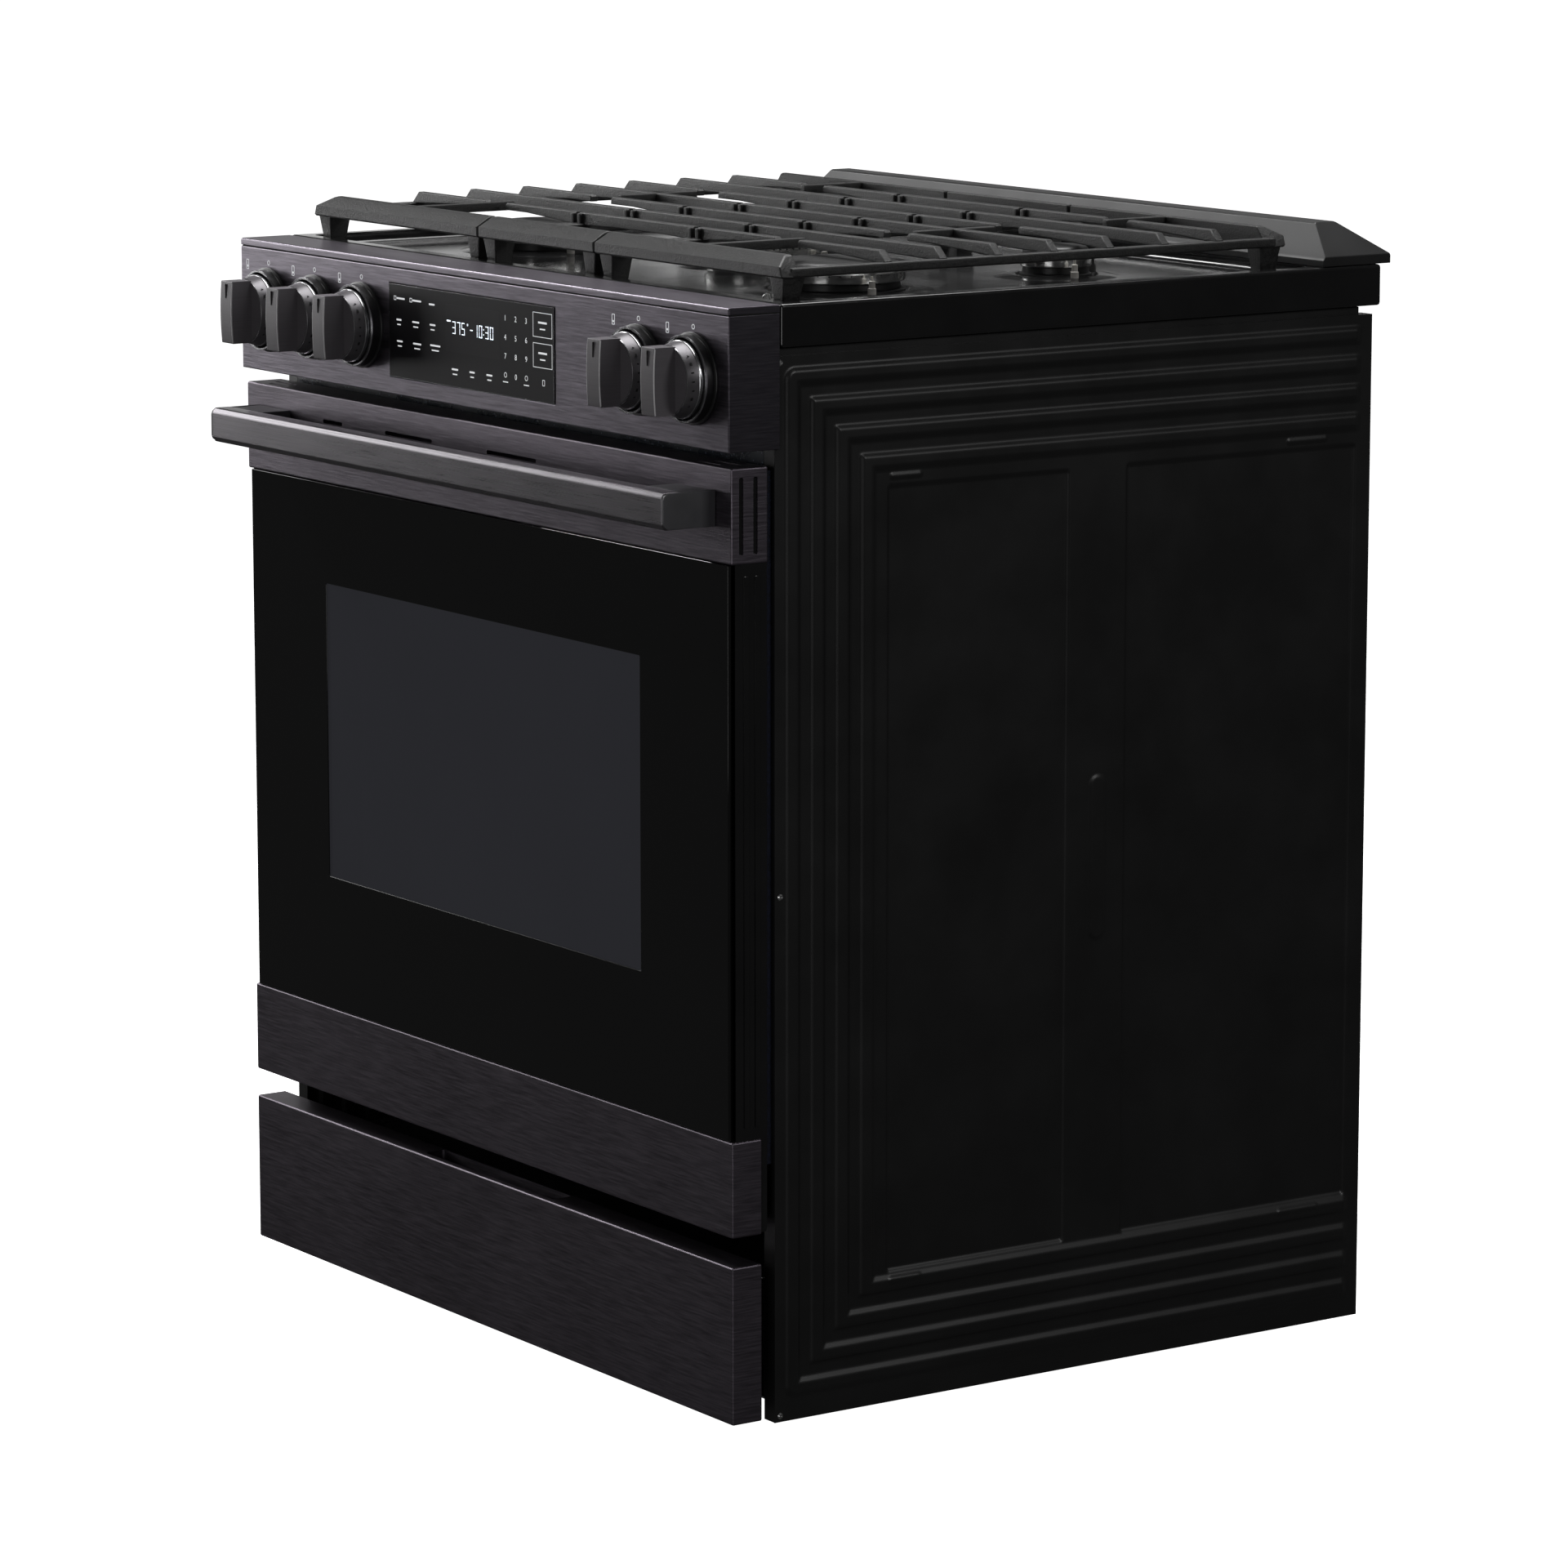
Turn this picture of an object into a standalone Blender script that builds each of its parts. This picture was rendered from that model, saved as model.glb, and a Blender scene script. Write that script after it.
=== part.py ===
"""A 30 inch slide-in gas range with front controls, in metres, +Z up.

The origin is the bottom centre of the object's box. The front faces -Y and +X is to the right of
someone who stands in front of it.
"""
import math

import bmesh
import bpy
from mathutils import Vector

# ------------------------------------------------------------------ driving dimensions
GAP = 0.0003          # air between neighbouring pieces
SHEET = 0.0012        # steel sheet

FRONT_Y = -0.306      # face of the control panel
DOOR_Y = -0.3025      # face of the door and the drawer
DOOR_BACK_Y = -0.268  # rear of the door
BODY_Y0, BODY_Y1 = -0.261, 0.342
BODY_X = 0.3775       # outside of the side panels
BODY_Z0, BODY_Z1 = 0.016, 0.874
DOOR_X = 0.379

PANEL_X, PANEL_Z0, PANEL_Z1, PANEL_BACK_Y = 0.380, 0.8018, 0.915, -0.2575
DISPLAY_X, DISPLAY_Z0, DISPLAY_Z1 = 0.129, 0.8167, 0.8950

TOP_X, TOP_Y0, TOP_Y1, TOP_Z0, TOP_Z1 = 0.3805, -0.2565, 0.349, 0.8807, 0.9153
RIM, RECESS, TRIM_SEAT = 0.014, 0.010, 0.065   # cooktop rim, how far its pan lies below it, rear ledge
PAN_Z = TOP_Z1 - RECESS

BAND_Z0, DOOR_Z1 = 0.7134, 0.7894              # top band of the door
LOW_BAND_Z0, LOW_BAND_Z1 = 0.1738, 0.2517      # bottom band of the door
HINGE_Y, HINGE_Z = -0.285, 0.190               # door axis, along X
HINGE_X, PIN_R = 0.339, 0.0055                 # middle of each hinge arm, and its pin
DRAWER_Z0, DRAWER_Z1 = 0.0203, 0.1497
DRAWER_BACK_Y = -0.274
PULL_X = 0.102                                 # half width of the finger slot in the drawer's top edge

CAVITY_X, CAVITY_Y0, CAVITY_Y1, CAVITY_Z0, CAVITY_Z1 = 0.315, -0.2592, 0.235, 0.262, 0.735
GUIDE_HEIGHTS = (0.335, 0.400, 0.465, 0.530, 0.595)   # undersides of the rack guides
GUIDE_T = 0.004
RACK_LEVELS = {"rack_lower": GUIDE_HEIGHTS[1], "rack_upper": GUIDE_HEIGHTS[3]}
RACK_X, RACK_Y0, RACK_Y1 = 0.307, -0.212, 0.173
FAN_Z = 0.500

KNOB_Z, KNOB_XS = 0.856, (-0.332, -0.2535, -0.175, 0.253, 0.331)
KNOB_FRONT_Y = -0.3494
STEM_R = 0.003

HANDLE_X, HANDLE_FRONT_Y, HANDLE_Z0, HANDLE_Z1 = 0.357, -0.352, 0.7417, 0.7715
HANDLE_DEPTH, POST_W, END_CAP = 0.021, 0.054, 0.0025

GRATE_X, GRATE_MID_X, GRATE_Z = 0.361, 0.0900, 0.950   # outer edge, joint, top
GRATE_Y0, GRATE_Y1 = -0.243, 0.262
BAR_YS = (-0.1394, -0.0857, -0.0310, 0.0250, 0.0816, 0.1374, 0.1940)
BAR_W, BAR_H = 0.009, 0.014
BURNER_X, BURNER_FRONT_Y, BURNER_REAR_Y = 0.222, -0.093, 0.129

TRIM_X, TRIM_Y0, TRIM_Y1, TRIM_Z1 = 0.3785, 0.288, 0.360, 0.9503
FOOT_X, FOOT_YS, FOOT_R = 0.300, (-0.195, 0.305), 0.016

# ------------------------------------------------------------------ helpers
parts = cutters = None


def start():
    global parts, cutters
    for obj in list(bpy.data.objects):
        bpy.data.objects.remove(obj, do_unlink=True)
    parts = bpy.data.collections.new("gas_range")
    cutters = bpy.data.collections.new("gas_range_cutters")
    for collection in (parts, cutters):
        bpy.context.scene.collection.children.link(collection)


def material(name, colour, roughness, metallic):
    made = bpy.data.materials.new(name)
    made.use_nodes = True
    shader = made.node_tree.nodes["Principled BSDF"]
    shader.inputs["Base Color"].default_value = (*colour, 1)
    shader.inputs["Roughness"].default_value = roughness
    shader.inputs["Metallic"].default_value = metallic
    return made


FINISHES = {
    "black_sheet": ((0.010, 0.010, 0.010), 0.45, 0.0),
    "dark_steel": ((0.13, 0.12, 0.13), 0.32, 1.0),
    "black_glass": ((0.006, 0.006, 0.007), 0.05, 0.0),
    "cast_iron": ((0.028, 0.028, 0.028), 0.75, 0.0),
    "black_enamel": ((0.008, 0.008, 0.008), 0.18, 0.0),
    "oven_enamel": ((0.022, 0.026, 0.034), 0.30, 0.0),
    "aluminium": ((0.72, 0.72, 0.70), 0.30, 1.0),
    "bright_steel": ((0.60, 0.60, 0.60), 0.22, 1.0),
    "zinc_steel": ((0.45, 0.46, 0.46), 0.42, 1.0),
    "brass": ((0.60, 0.44, 0.18), 0.35, 1.0),
    "glass_fibre": ((0.020, 0.025, 0.045), 0.95, 0.0),
    "black_plastic": ((0.012, 0.012, 0.012), 0.55, 0.0),
}


def finish(obj, name, look):
    """Names a finished piece and gives it its own material."""
    obj.name = obj.data.name = name
    obj.data.materials.clear()
    obj.data.materials.append(material(name, *FINISHES[look]))
    for collection in list(obj.users_collection):
        collection.objects.unlink(obj)
    parts.objects.link(obj)
    return obj


def helper(obj):
    """Makes an object a hidden operand of a Boolean."""
    for collection in list(obj.users_collection):
        collection.objects.unlink(obj)
    cutters.objects.link(obj)
    obj.hide_render = True
    obj.display_type = "WIRE"
    return obj


def box(low, high):
    low, high = Vector(low), Vector(high)
    bpy.ops.mesh.primitive_cube_add(size=1, location=(low + high) / 2)
    obj = bpy.context.object
    obj.scale = high - low
    bpy.ops.object.transform_apply(location=False, rotation=False, scale=True)
    return obj


def cylinder(centre, radius, length, axis="Z", sides=24):
    turn = {"X": (0, math.pi / 2, 0), "Y": (math.pi / 2, 0, 0), "Z": (0, 0, 0)}[axis]
    bpy.ops.mesh.primitive_cylinder_add(
        vertices=sides, radius=radius, depth=length, location=centre, rotation=turn)
    bpy.ops.object.transform_apply(location=False, rotation=True, scale=False)
    return bpy.context.object


def frustum(low, high, shrink_x, shrink_y0, shrink_y1):
    """A box whose top face is drawn in by shrink_x at both ends and by shrink_y0 and shrink_y1."""
    obj = box(low, high)
    for vertex in obj.data.vertices:
        if vertex.co.z > 0:
            vertex.co.x -= math.copysign(shrink_x, vertex.co.x)
            vertex.co.y += -shrink_y1 if vertex.co.y > 0 else shrink_y0
    return obj


def bevel(obj, width, segments=1):
    modifier = obj.modifiers.new("bevel", "BEVEL")
    modifier.width, modifier.segments = width, segments
    modifier.limit_method, modifier.angle_limit = "ANGLE", math.radians(35)
    return obj


def shell(low, high, thickness, open_sides):
    """A folded box of sheet, without the sides named in open_sides, such as '-Y'."""
    obj = box(low, high)
    mesh = bmesh.new()
    mesh.from_mesh(obj.data)
    gone = []
    for face in mesh.faces:
        k = max(range(3), key=lambda i: abs(face.normal[i]))
        if ("+" if face.normal[k] > 0 else "-") + "XYZ"[k] in open_sides:
            gone.append(face)
    bmesh.ops.delete(mesh, geom=gone, context="FACES")
    mesh.to_mesh(obj.data)
    mesh.free()
    solidify(obj, thickness)
    return obj


def solidify(obj, thickness):
    modifier = obj.modifiers.new("sheet", "SOLIDIFY")
    modifier.thickness, modifier.offset, modifier.use_even_offset = thickness, -1, True
    return modifier


def boolean(obj, other, operation):
    modifier = obj.modifiers.new(operation.lower(), "BOOLEAN")
    modifier.operation, modifier.object = operation, helper(other)
    return obj


def cut(obj, *others):
    for other in others:
        boolean(obj, other, "DIFFERENCE")
    return obj


def join(obj, *others):
    for other in others:
        boolean(obj, other, "UNION")
    return obj


def as_mesh(curve):
    """The evaluated curve as a mesh object with its caps welded on."""
    bpy.context.view_layer.update()
    graph = bpy.context.evaluated_depsgraph_get()
    data = bpy.data.meshes.new_from_object(curve.evaluated_get(graph))
    mesh = bmesh.new()
    mesh.from_mesh(data)
    bmesh.ops.remove_doubles(mesh, verts=mesh.verts, dist=0.00001)
    bmesh.ops.recalc_face_normals(mesh, faces=mesh.faces)
    mesh.to_mesh(data)
    mesh.free()
    obj = bpy.data.objects.new(curve.name, data)
    obj.matrix_world = curve.matrix_world.copy()
    bpy.data.objects.remove(curve, do_unlink=True)
    parts.objects.link(obj)
    return obj


def curve_object(paths, flat, cyclic):
    data = bpy.data.curves.new("outline", "CURVE")
    data.dimensions = "2D" if flat else "3D"
    for path in paths:
        spline = data.splines.new("POLY")
        spline.points.add(len(path) - 1)
        for point, place in zip(spline.points, path):
            point.co = (*place, *([0] * (3 - len(place))), 1)
        spline.use_cyclic_u = cyclic
    obj = bpy.data.objects.new("outline", data)
    parts.objects.link(obj)
    return obj


def prism(outlines, axis, low, high):
    """Flat outlines (the first one's holes follow it) extruded along an axis from low to high.

    The outline's two numbers are (x, y) for Z, (x, z) for Y and (y, z) for X.
    """
    obj = curve_object(outlines, flat=True, cyclic=True)
    obj.data.fill_mode = "BOTH"
    obj.data.extrude = (high - low) / 2
    middle = (low + high) / 2
    if axis == "Z":
        obj.location.z = middle
    elif axis == "Y":
        obj.rotation_euler = (math.pi / 2, 0, 0)
        obj.location.y = middle
    else:
        obj.rotation_euler = (math.pi / 2, 0, math.pi / 2)
        obj.location.x = middle
    return as_mesh(obj)


def tube(points, radius):
    obj = curve_object([points], flat=False, cyclic=False)
    obj.data.bevel_depth, obj.data.bevel_resolution = radius, 2
    obj.data.use_fill_caps = True
    return as_mesh(obj)


def rectangle(x0, z0, x1, z1):
    return [(x0, z0), (x1, z0), (x1, z1), (x0, z1)]


def turned(profile, sides=32):
    """A profile of (radius, height) from the top of the outer side to the bottom, turned about Z."""
    data = bpy.data.meshes.new("profile")
    data.from_pydata([(r, 0, z) for r, z in profile],
                     [(i, i + 1) for i in range(len(profile) - 1)], [])
    obj = bpy.data.objects.new("profile", data)
    parts.objects.link(obj)
    screw = obj.modifiers.new("turn", "SCREW")
    screw.steps = screw.render_steps = sides
    screw.use_merge_vertices, screw.merge_threshold = True, 0.00001
    return obj


def place(obj, location, rotation=(0, 0, 0)):
    obj.location, obj.rotation_euler = location, rotation
    return obj


def pivot(obj, point):
    """Moves the origin of a mesh object to a point of the world, leaving its shape where it is."""
    bpy.context.view_layer.update()
    shift = obj.matrix_world.inverted() @ Vector(point)
    for vertex in obj.data.vertices:
        vertex.co -= shift
    obj.location = point
    return obj


# ------------------------------------------------------------------ cabinet
def side_panels():
    return_w = 0.015
    for name, side in (("side_panel_left", -1), ("side_panel_right", 1)):
        outline = [(BODY_X, BODY_Y0), (BODY_X, BODY_Y1), (BODY_X - return_w, BODY_Y1),
                   (BODY_X - return_w, BODY_Y1 - SHEET), (BODY_X - SHEET, BODY_Y1 - SHEET),
                   (BODY_X - SHEET, BODY_Y0 + SHEET), (BODY_X - return_w, BODY_Y0 + SHEET),
                   (BODY_X - return_w, BODY_Y0)]
        panel = prism([[(side * x, y) for x, y in outline]], "Z", BODY_Z0, BODY_Z1)
        finish(panel, name, "black_sheet")


def back_panel():
    inner = BODY_X - 0.0012 - GAP
    panel = box((-inner, BODY_Y1 - SHEET - GAP - SHEET, 0.045), (inner, BODY_Y1 - SHEET - GAP, 0.872))
    cut(panel, box((0.285, 0.30, 0.125), (0.335, 0.36, 0.175)))     # where the gas pipe leaves
    finish(panel, "back_panel", "zinc_steel")


def base_frame():
    inner = BODY_X - SHEET - GAP
    pan = shell((-inner, -0.235, 0.020), (inner, 0.336, 0.040), 0.0015, ("+Z", "-Y"))
    for x in (-FOOT_X, FOOT_X):
        for y in FOOT_YS:
            cut(pan, cylinder((x, y, 0.02), 0.0058, 0.02, sides=16))
    finish(pan, "base_frame", "zinc_steel")


def feet():
    profile = [(0, 0.046), (0.005, 0.046), (0.005, 0.010), (FOOT_R * 0.7, 0.010), (FOOT_R, 0.004),
               (FOOT_R, 0.0), (0, 0.0)]
    names = iter(("foot_front_left", "foot_rear_left", "foot_front_right", "foot_rear_right"))
    for x in (-FOOT_X, FOOT_X):
        for y in FOOT_YS:
            finish(place(turned(profile, 20), (x, y, 0)), next(names), "black_plastic")


def front_frame():
    edge = BODY_X - 0.015 - GAP
    mouth_x, mouth_z0, mouth_z1 = CAVITY_X - 0.004, CAVITY_Z0 + 0.004, CAVITY_Z1 - 0.004
    frame = prism([rectangle(-edge, 0.207, edge, 0.800),
                   rectangle(-mouth_x, mouth_z0, mouth_x, mouth_z1)], "Y", BODY_Y0, CAVITY_Y0 - GAP)
    finish(frame, "front_frame", "oven_enamel")


def oven_cavity():
    liner = shell((-CAVITY_X, CAVITY_Y0, CAVITY_Z0), (CAVITY_X, CAVITY_Y1, CAVITY_Z1), SHEET, ("-Y",))
    wall = CAVITY_X - SHEET
    for side in (-1, 1):
        for z in GUIDE_HEIGHTS:
            x0, x1 = sorted((side * (wall - 0.012), side * (wall + 0.0006)))
            join(liner, box((x0, -0.225, z), (x1, 0.175, z + GUIDE_T)))
    cut(liner, cylinder((0, CAVITY_Y1, FAN_Z), 0.008, 0.02, "Y", 16))
    finish(liner, "oven_cavity", "oven_enamel")


def racks():
    rod, wires = 0.0055, 15
    for name, level in RACK_LEVELS.items():
        z0 = level + GUIDE_T + GAP
        rack = prism([rectangle(-RACK_X, RACK_Y0, RACK_X, RACK_Y1),
                      rectangle(-RACK_X + rod, RACK_Y0 + rod, RACK_X - rod, RACK_Y1 - rod)],
                     "Z", z0, z0 + rod)
        for i in range(wires):
            x = (i - (wires - 1) / 2) * 2 * RACK_X / (wires + 1)
            join(rack, box((x - 0.0015, RACK_Y0 + 0.002, z0 + 0.0022),
                           (x + 0.0015, RACK_Y1 - 0.002, z0 + 0.0052)))
        for y in (RACK_Y0 + 0.13, RACK_Y1 - 0.13):
            join(rack, box((-RACK_X + 0.002, y - 0.002, z0 + 0.0005),
                           (RACK_X - 0.002, y + 0.002, z0 + 0.0035)))
        finish(rack, name, "bright_steel")


def oven_burners():
    r = 0.007
    loop = [(0.06, 0.22, 0.240), (0.06, -0.12, 0.240), (0.045, -0.14, 0.240), (-0.045, -0.14, 0.240),
            (-0.06, -0.12, 0.240), (-0.06, 0.16, 0.240)]
    finish(tube(loop, r), "bake_burner", "zinc_steel")
    top = CAVITY_Z1 - SHEET
    broil = box((-0.09, -0.16, top - 0.030), (0.09, 0.10, top - 0.018))
    join(broil, box((-0.02, -0.05, top - 0.020), (0.02, 0.0, top - GAP)))
    finish(broil, "broil_burner", "zinc_steel")


def convection():
    hub_y, wall = 0.206, CAVITY_Y1 - SHEET
    fan = cylinder((0, hub_y, FAN_Z), 0.022, 0.010, "Y", 20)
    join(fan, cylinder((0, hub_y + 0.020, FAN_Z), 0.005, 0.040, "Y", 12))
    for k in range(8):
        a = math.tau * k / 8
        blade = box((0.018, -0.009, -0.001), (0.072, 0.009, 0.001))
        blade.rotation_euler = (0, a, 0)
        blade.location = (0.045 * math.cos(a), hub_y, FAN_Z - 0.045 * math.sin(a))
        join(fan, blade)
    finish(pivot(fan, (0, hub_y, FAN_Z)), "convection_fan", "zinc_steel")
    cover = shell((-0.13, wall - 0.052, FAN_Z - 0.11), (0.13, wall - GAP, FAN_Z + 0.11), SHEET, ("+Y",))
    for k in range(-3, 4):
        cut(cover, box((-0.07, wall - 0.06, FAN_Z + k * 0.02 - 0.004),
                       (0.07, wall - 0.04, FAN_Z + k * 0.02 + 0.004)))
    finish(cover, "fan_cover", "oven_enamel")
    motor = box((-0.030, CAVITY_Y1 + 0.012, FAN_Z - 0.030), (0.030, CAVITY_Y1 + 0.055, FAN_Z + 0.030))
    join(motor, box((-0.055, CAVITY_Y1 + GAP, FAN_Z - 0.012), (-0.028, CAVITY_Y1 + 0.014, FAN_Z + 0.012)),
         box((0.028, CAVITY_Y1 + GAP, FAN_Z - 0.012), (0.055, CAVITY_Y1 + 0.014, FAN_Z + 0.012)))
    finish(bevel(motor, 0.002), "fan_motor", "zinc_steel")


def gasket():
    x, z0, z1, w = 0.3735, 0.2290, 0.7850, 0.014
    ring = prism([rectangle(-x, z0, x, z1), rectangle(-x + w, z0 + w, x - w, z1 - w)], "Y",
                 DOOR_BACK_Y + 0.0005, BODY_Y0 - 0.0005)
    finish(ring, "oven_gasket", "glass_fibre")


# ------------------------------------------------------------------ door
def hinge_slots():
    """Cutters for the two slots in the door's lower rear edge, where the hinge arms reach its axis."""
    half, room = 0.0065, 0.001
    return [box((x - half, HINGE_Y - PIN_R - room, LOW_BAND_Z0 - 0.004),
                (x + half, DOOR_BACK_Y + 0.004, HINGE_Z + PIN_R + room)) for x in (-HINGE_X, HINGE_X)]


def door():
    axis = (0, HINGE_Y, HINGE_Z)
    liner_x, liner_z0, liner_z1 = DOOR_X - SHEET - GAP, LOW_BAND_Z0 + SHEET + GAP, DOOR_Z1 - SHEET - GAP
    liner = shell((-liner_x, DOOR_Y + 0.0045, liner_z0), (liner_x, DOOR_BACK_Y, liner_z1), SHEET, ("-Y",))
    cut(liner, box((-0.225, DOOR_BACK_Y - 0.005, 0.365), (0.225, DOOR_BACK_Y + 0.005, 0.625)))
    cut(liner, *hinge_slots())
    finish(pivot(liner, axis), "door_liner", "black_enamel")

    top = shell((-DOOR_X, DOOR_Y, BAND_Z0), (DOOR_X, DOOR_BACK_Y, DOOR_Z1), SHEET, ("-Z", "+Y"))
    finish(pivot(top, axis), "door_top_band", "dark_steel")
    bottom = shell((-DOOR_X, DOOR_Y, LOW_BAND_Z0), (DOOR_X, DRAWER_BACK_Y, LOW_BAND_Z1), SHEET,
                   ("+Z", "+Y"))
    cut(bottom, *hinge_slots())
    finish(pivot(bottom, axis), "door_bottom_band", "dark_steel")

    pane = box((-0.3735, DOOR_Y, LOW_BAND_Z1 + 0.0005), (0.3735, DOOR_Y + 0.004, BAND_Z0 - 0.0005))
    finish(pivot(pane, axis), "door_glass", "black_glass")
    inner = box((-0.240, DOOR_BACK_Y - SHEET - GAP - 0.004, 0.350),
                (0.240, DOOR_BACK_Y - SHEET - GAP, 0.640))
    finish(pivot(inner, axis), "inner_glass", "black_glass")

    behind = CAVITY_Y0                                             # rear face of the front frame, and a gap
    for name, side in (("door_hinge_left", -1), ("door_hinge_right", 1)):
        x = side * HINGE_X
        arm = prism([[(HINGE_Y, HINGE_Z - 0.004), (behind + 0.004, HINGE_Z - 0.004),
                      (behind + 0.018, HINGE_Z + 0.008), (behind + 0.018, HINGE_Z + 0.046),
                      (behind, HINGE_Z + 0.046), (behind, HINGE_Z + 0.010), (behind - 0.003, HINGE_Z + 0.004),
                      (HINGE_Y, HINGE_Z + 0.004)]], "X", x - 0.005, x + 0.005)
        join(arm, cylinder((x, HINGE_Y, HINGE_Z), PIN_R, 0.0104, "X", 32))
        finish(arm, name, "zinc_steel")


def handle():
    axis = (0, HINGE_Y, HINGE_Z)
    back = HANDLE_FRONT_Y + HANDLE_DEPTH
    end, inner = HANDLE_X - END_CAP, HANDLE_X - POST_W
    bar = box((-end + GAP, HANDLE_FRONT_Y, HANDLE_Z0), (end - GAP, back, HANDLE_Z1))
    finish(pivot(bevel(bar, 0.006, 3), axis), "handle_bar", "dark_steel")
    for name, side in (("handle_post_left", -1), ("handle_post_right", 1)):
        outline = [(end, HANDLE_FRONT_Y + 0.002), (HANDLE_X, HANDLE_FRONT_Y + 0.002), (HANDLE_X, DOOR_Y - GAP),
                   (inner, DOOR_Y - GAP), (inner, back + GAP), (end, back + GAP)]
        post = prism([[(side * x, y) for x, y in outline]], "Z", HANDLE_Z0 + 0.0005, HANDLE_Z1 - 0.0005)
        finish(pivot(post, axis), name, "dark_steel")


# ------------------------------------------------------------------ storage drawer
def drawer():
    front = shell((-DOOR_X, DOOR_Y, DRAWER_Z0), (DOOR_X, DRAWER_BACK_Y, DRAWER_Z1), SHEET, ("+Y",))
    cut(front, box((-PULL_X, DOOR_Y + 0.0065, DRAWER_Z1 - 0.010), (PULL_X, DRAWER_BACK_Y - 0.003,
                                                                 DRAWER_Z1 + 0.010)))
    finish(front, "drawer_front", "dark_steel")
    tray = shell((-0.335, DRAWER_BACK_Y + GAP, 0.052), (0.335, 0.290, 0.122), 0.001, ("+Z",))
    finish(tray, "drawer_box", "zinc_steel")
    for name, side in (("drawer_slide_left", -1), ("drawer_slide_right", 1)):
        x0, x1 = 0.3365, BODY_X - SHEET - GAP
        rail = [(x1, 0.060), (x1, 0.100), (x1 - 0.0015, 0.100), (x1 - 0.0015, 0.082), (x0 + 0.0015, 0.082),
                (x0 + 0.0015, 0.092), (x0, 0.092), (x0, 0.070), (x0 + 0.0015, 0.070), (x0 + 0.0015, 0.080),
                (x1 - 0.0015, 0.080), (x1 - 0.0015, 0.060)]
        slide = prism([[(side * x, z) for x, z in rail]], "Y", -0.240, 0.290)
        finish(slide, name, "zinc_steel")


# ------------------------------------------------------------------ controls
def control_panel():
    panel = shell((-PANEL_X, FRONT_Y, PANEL_Z0), (PANEL_X, PANEL_BACK_Y, PANEL_Z1), 0.0015, ("+Y",))
    room = 0.0003
    cut(panel, box((-PANEL_X + 0.002, BODY_Y0 - GAP, PANEL_Z0 - 0.01), (PANEL_X - 0.002, 0, PANEL_Z0 + 0.01)))
    cut(panel, box((-DISPLAY_X - room, FRONT_Y - 0.01, DISPLAY_Z0 - room),
                   (DISPLAY_X + room, FRONT_Y + 0.01, DISPLAY_Z1 + room)))
    ring = [(0.0365, 0.0), (0.0365, -0.0026), (0.0345, -0.0030), (0.0345, -0.0110), (0.0325, -0.0110),
            (0.0325, 0.0008), (0.0365, 0.0008), (0.0365, 0.0)]
    for x in KNOB_XS:
        collar = place(turned(ring[::-1], 32), (x, FRONT_Y, KNOB_Z), (-math.pi / 2, 0, 0))
        join(panel, collar)
        cut(panel, cylinder((x, FRONT_Y, KNOB_Z), 0.008, 0.02, "Y", 16))
    finish(panel, "control_panel", "dark_steel")
    glass = box((-DISPLAY_X, FRONT_Y - 0.0006, DISPLAY_Z0), (DISPLAY_X, FRONT_Y + 0.0024, DISPLAY_Z1))
    finish(glass, "display_glass", "black_glass")


def knobs():
    skirt = [(0, -0.0235), (0.0280, -0.0235), (0.0310, -0.0120), (0.0310, -0.0090), (0, -0.0090)]
    for i, x in enumerate(KNOB_XS, 1):
        knob = place(turned(skirt[::-1], 32), (x, FRONT_Y, KNOB_Z), (-math.pi / 2, 0, 0))
        grip = bevel(box((x - 0.0095, KNOB_FRONT_Y, KNOB_Z - 0.0275),
                         (x + 0.0095, FRONT_Y - 0.0200, KNOB_Z + 0.0275)), 0.002, 2)
        join(knob, grip)
        cut(knob, cylinder((x, FRONT_Y - 0.018, KNOB_Z), STEM_R + 0.0003, 0.024, "Y", 12))
        finish(knob, f"knob_{i}", "dark_steel")
        stem = cylinder((x, FRONT_Y + 0.0085, KNOB_Z), STEM_R, 0.075 - 0.004, "Y", 12)
        finish(stem, f"knob_stem_{i}", "bright_steel")


def gas_manifold():
    y, z, side_x = -0.228, 0.846, 0.345
    pipe = tube([(-0.345, y, z), (side_x - 0.02, y, z), (side_x - 0.006, y + 0.006, z),
                 (side_x, y + 0.02, z), (side_x, 0.29, z), (side_x - 0.004, 0.305, z - 0.004),
                 (side_x - 0.012, 0.312, z - 0.02), (side_x - 0.030, 0.315, 0.60),
                 (0.310, 0.315, 0.175), (0.310, 0.318, 0.158), (0.310, 0.328, 0.150),
                 (0.310, 0.352, 0.150)], 0.008)
    for x in KNOB_XS:
        valve = box((x - 0.011, -0.268, KNOB_Z - 0.012), (x + 0.011, y, KNOB_Z + 0.012))
        join(pipe, valve)
        cut(pipe, cylinder((x, -0.262, KNOB_Z), STEM_R + 0.0004, 0.020, "Y", 12))
    finish(pipe, "gas_manifold", "brass")


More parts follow.
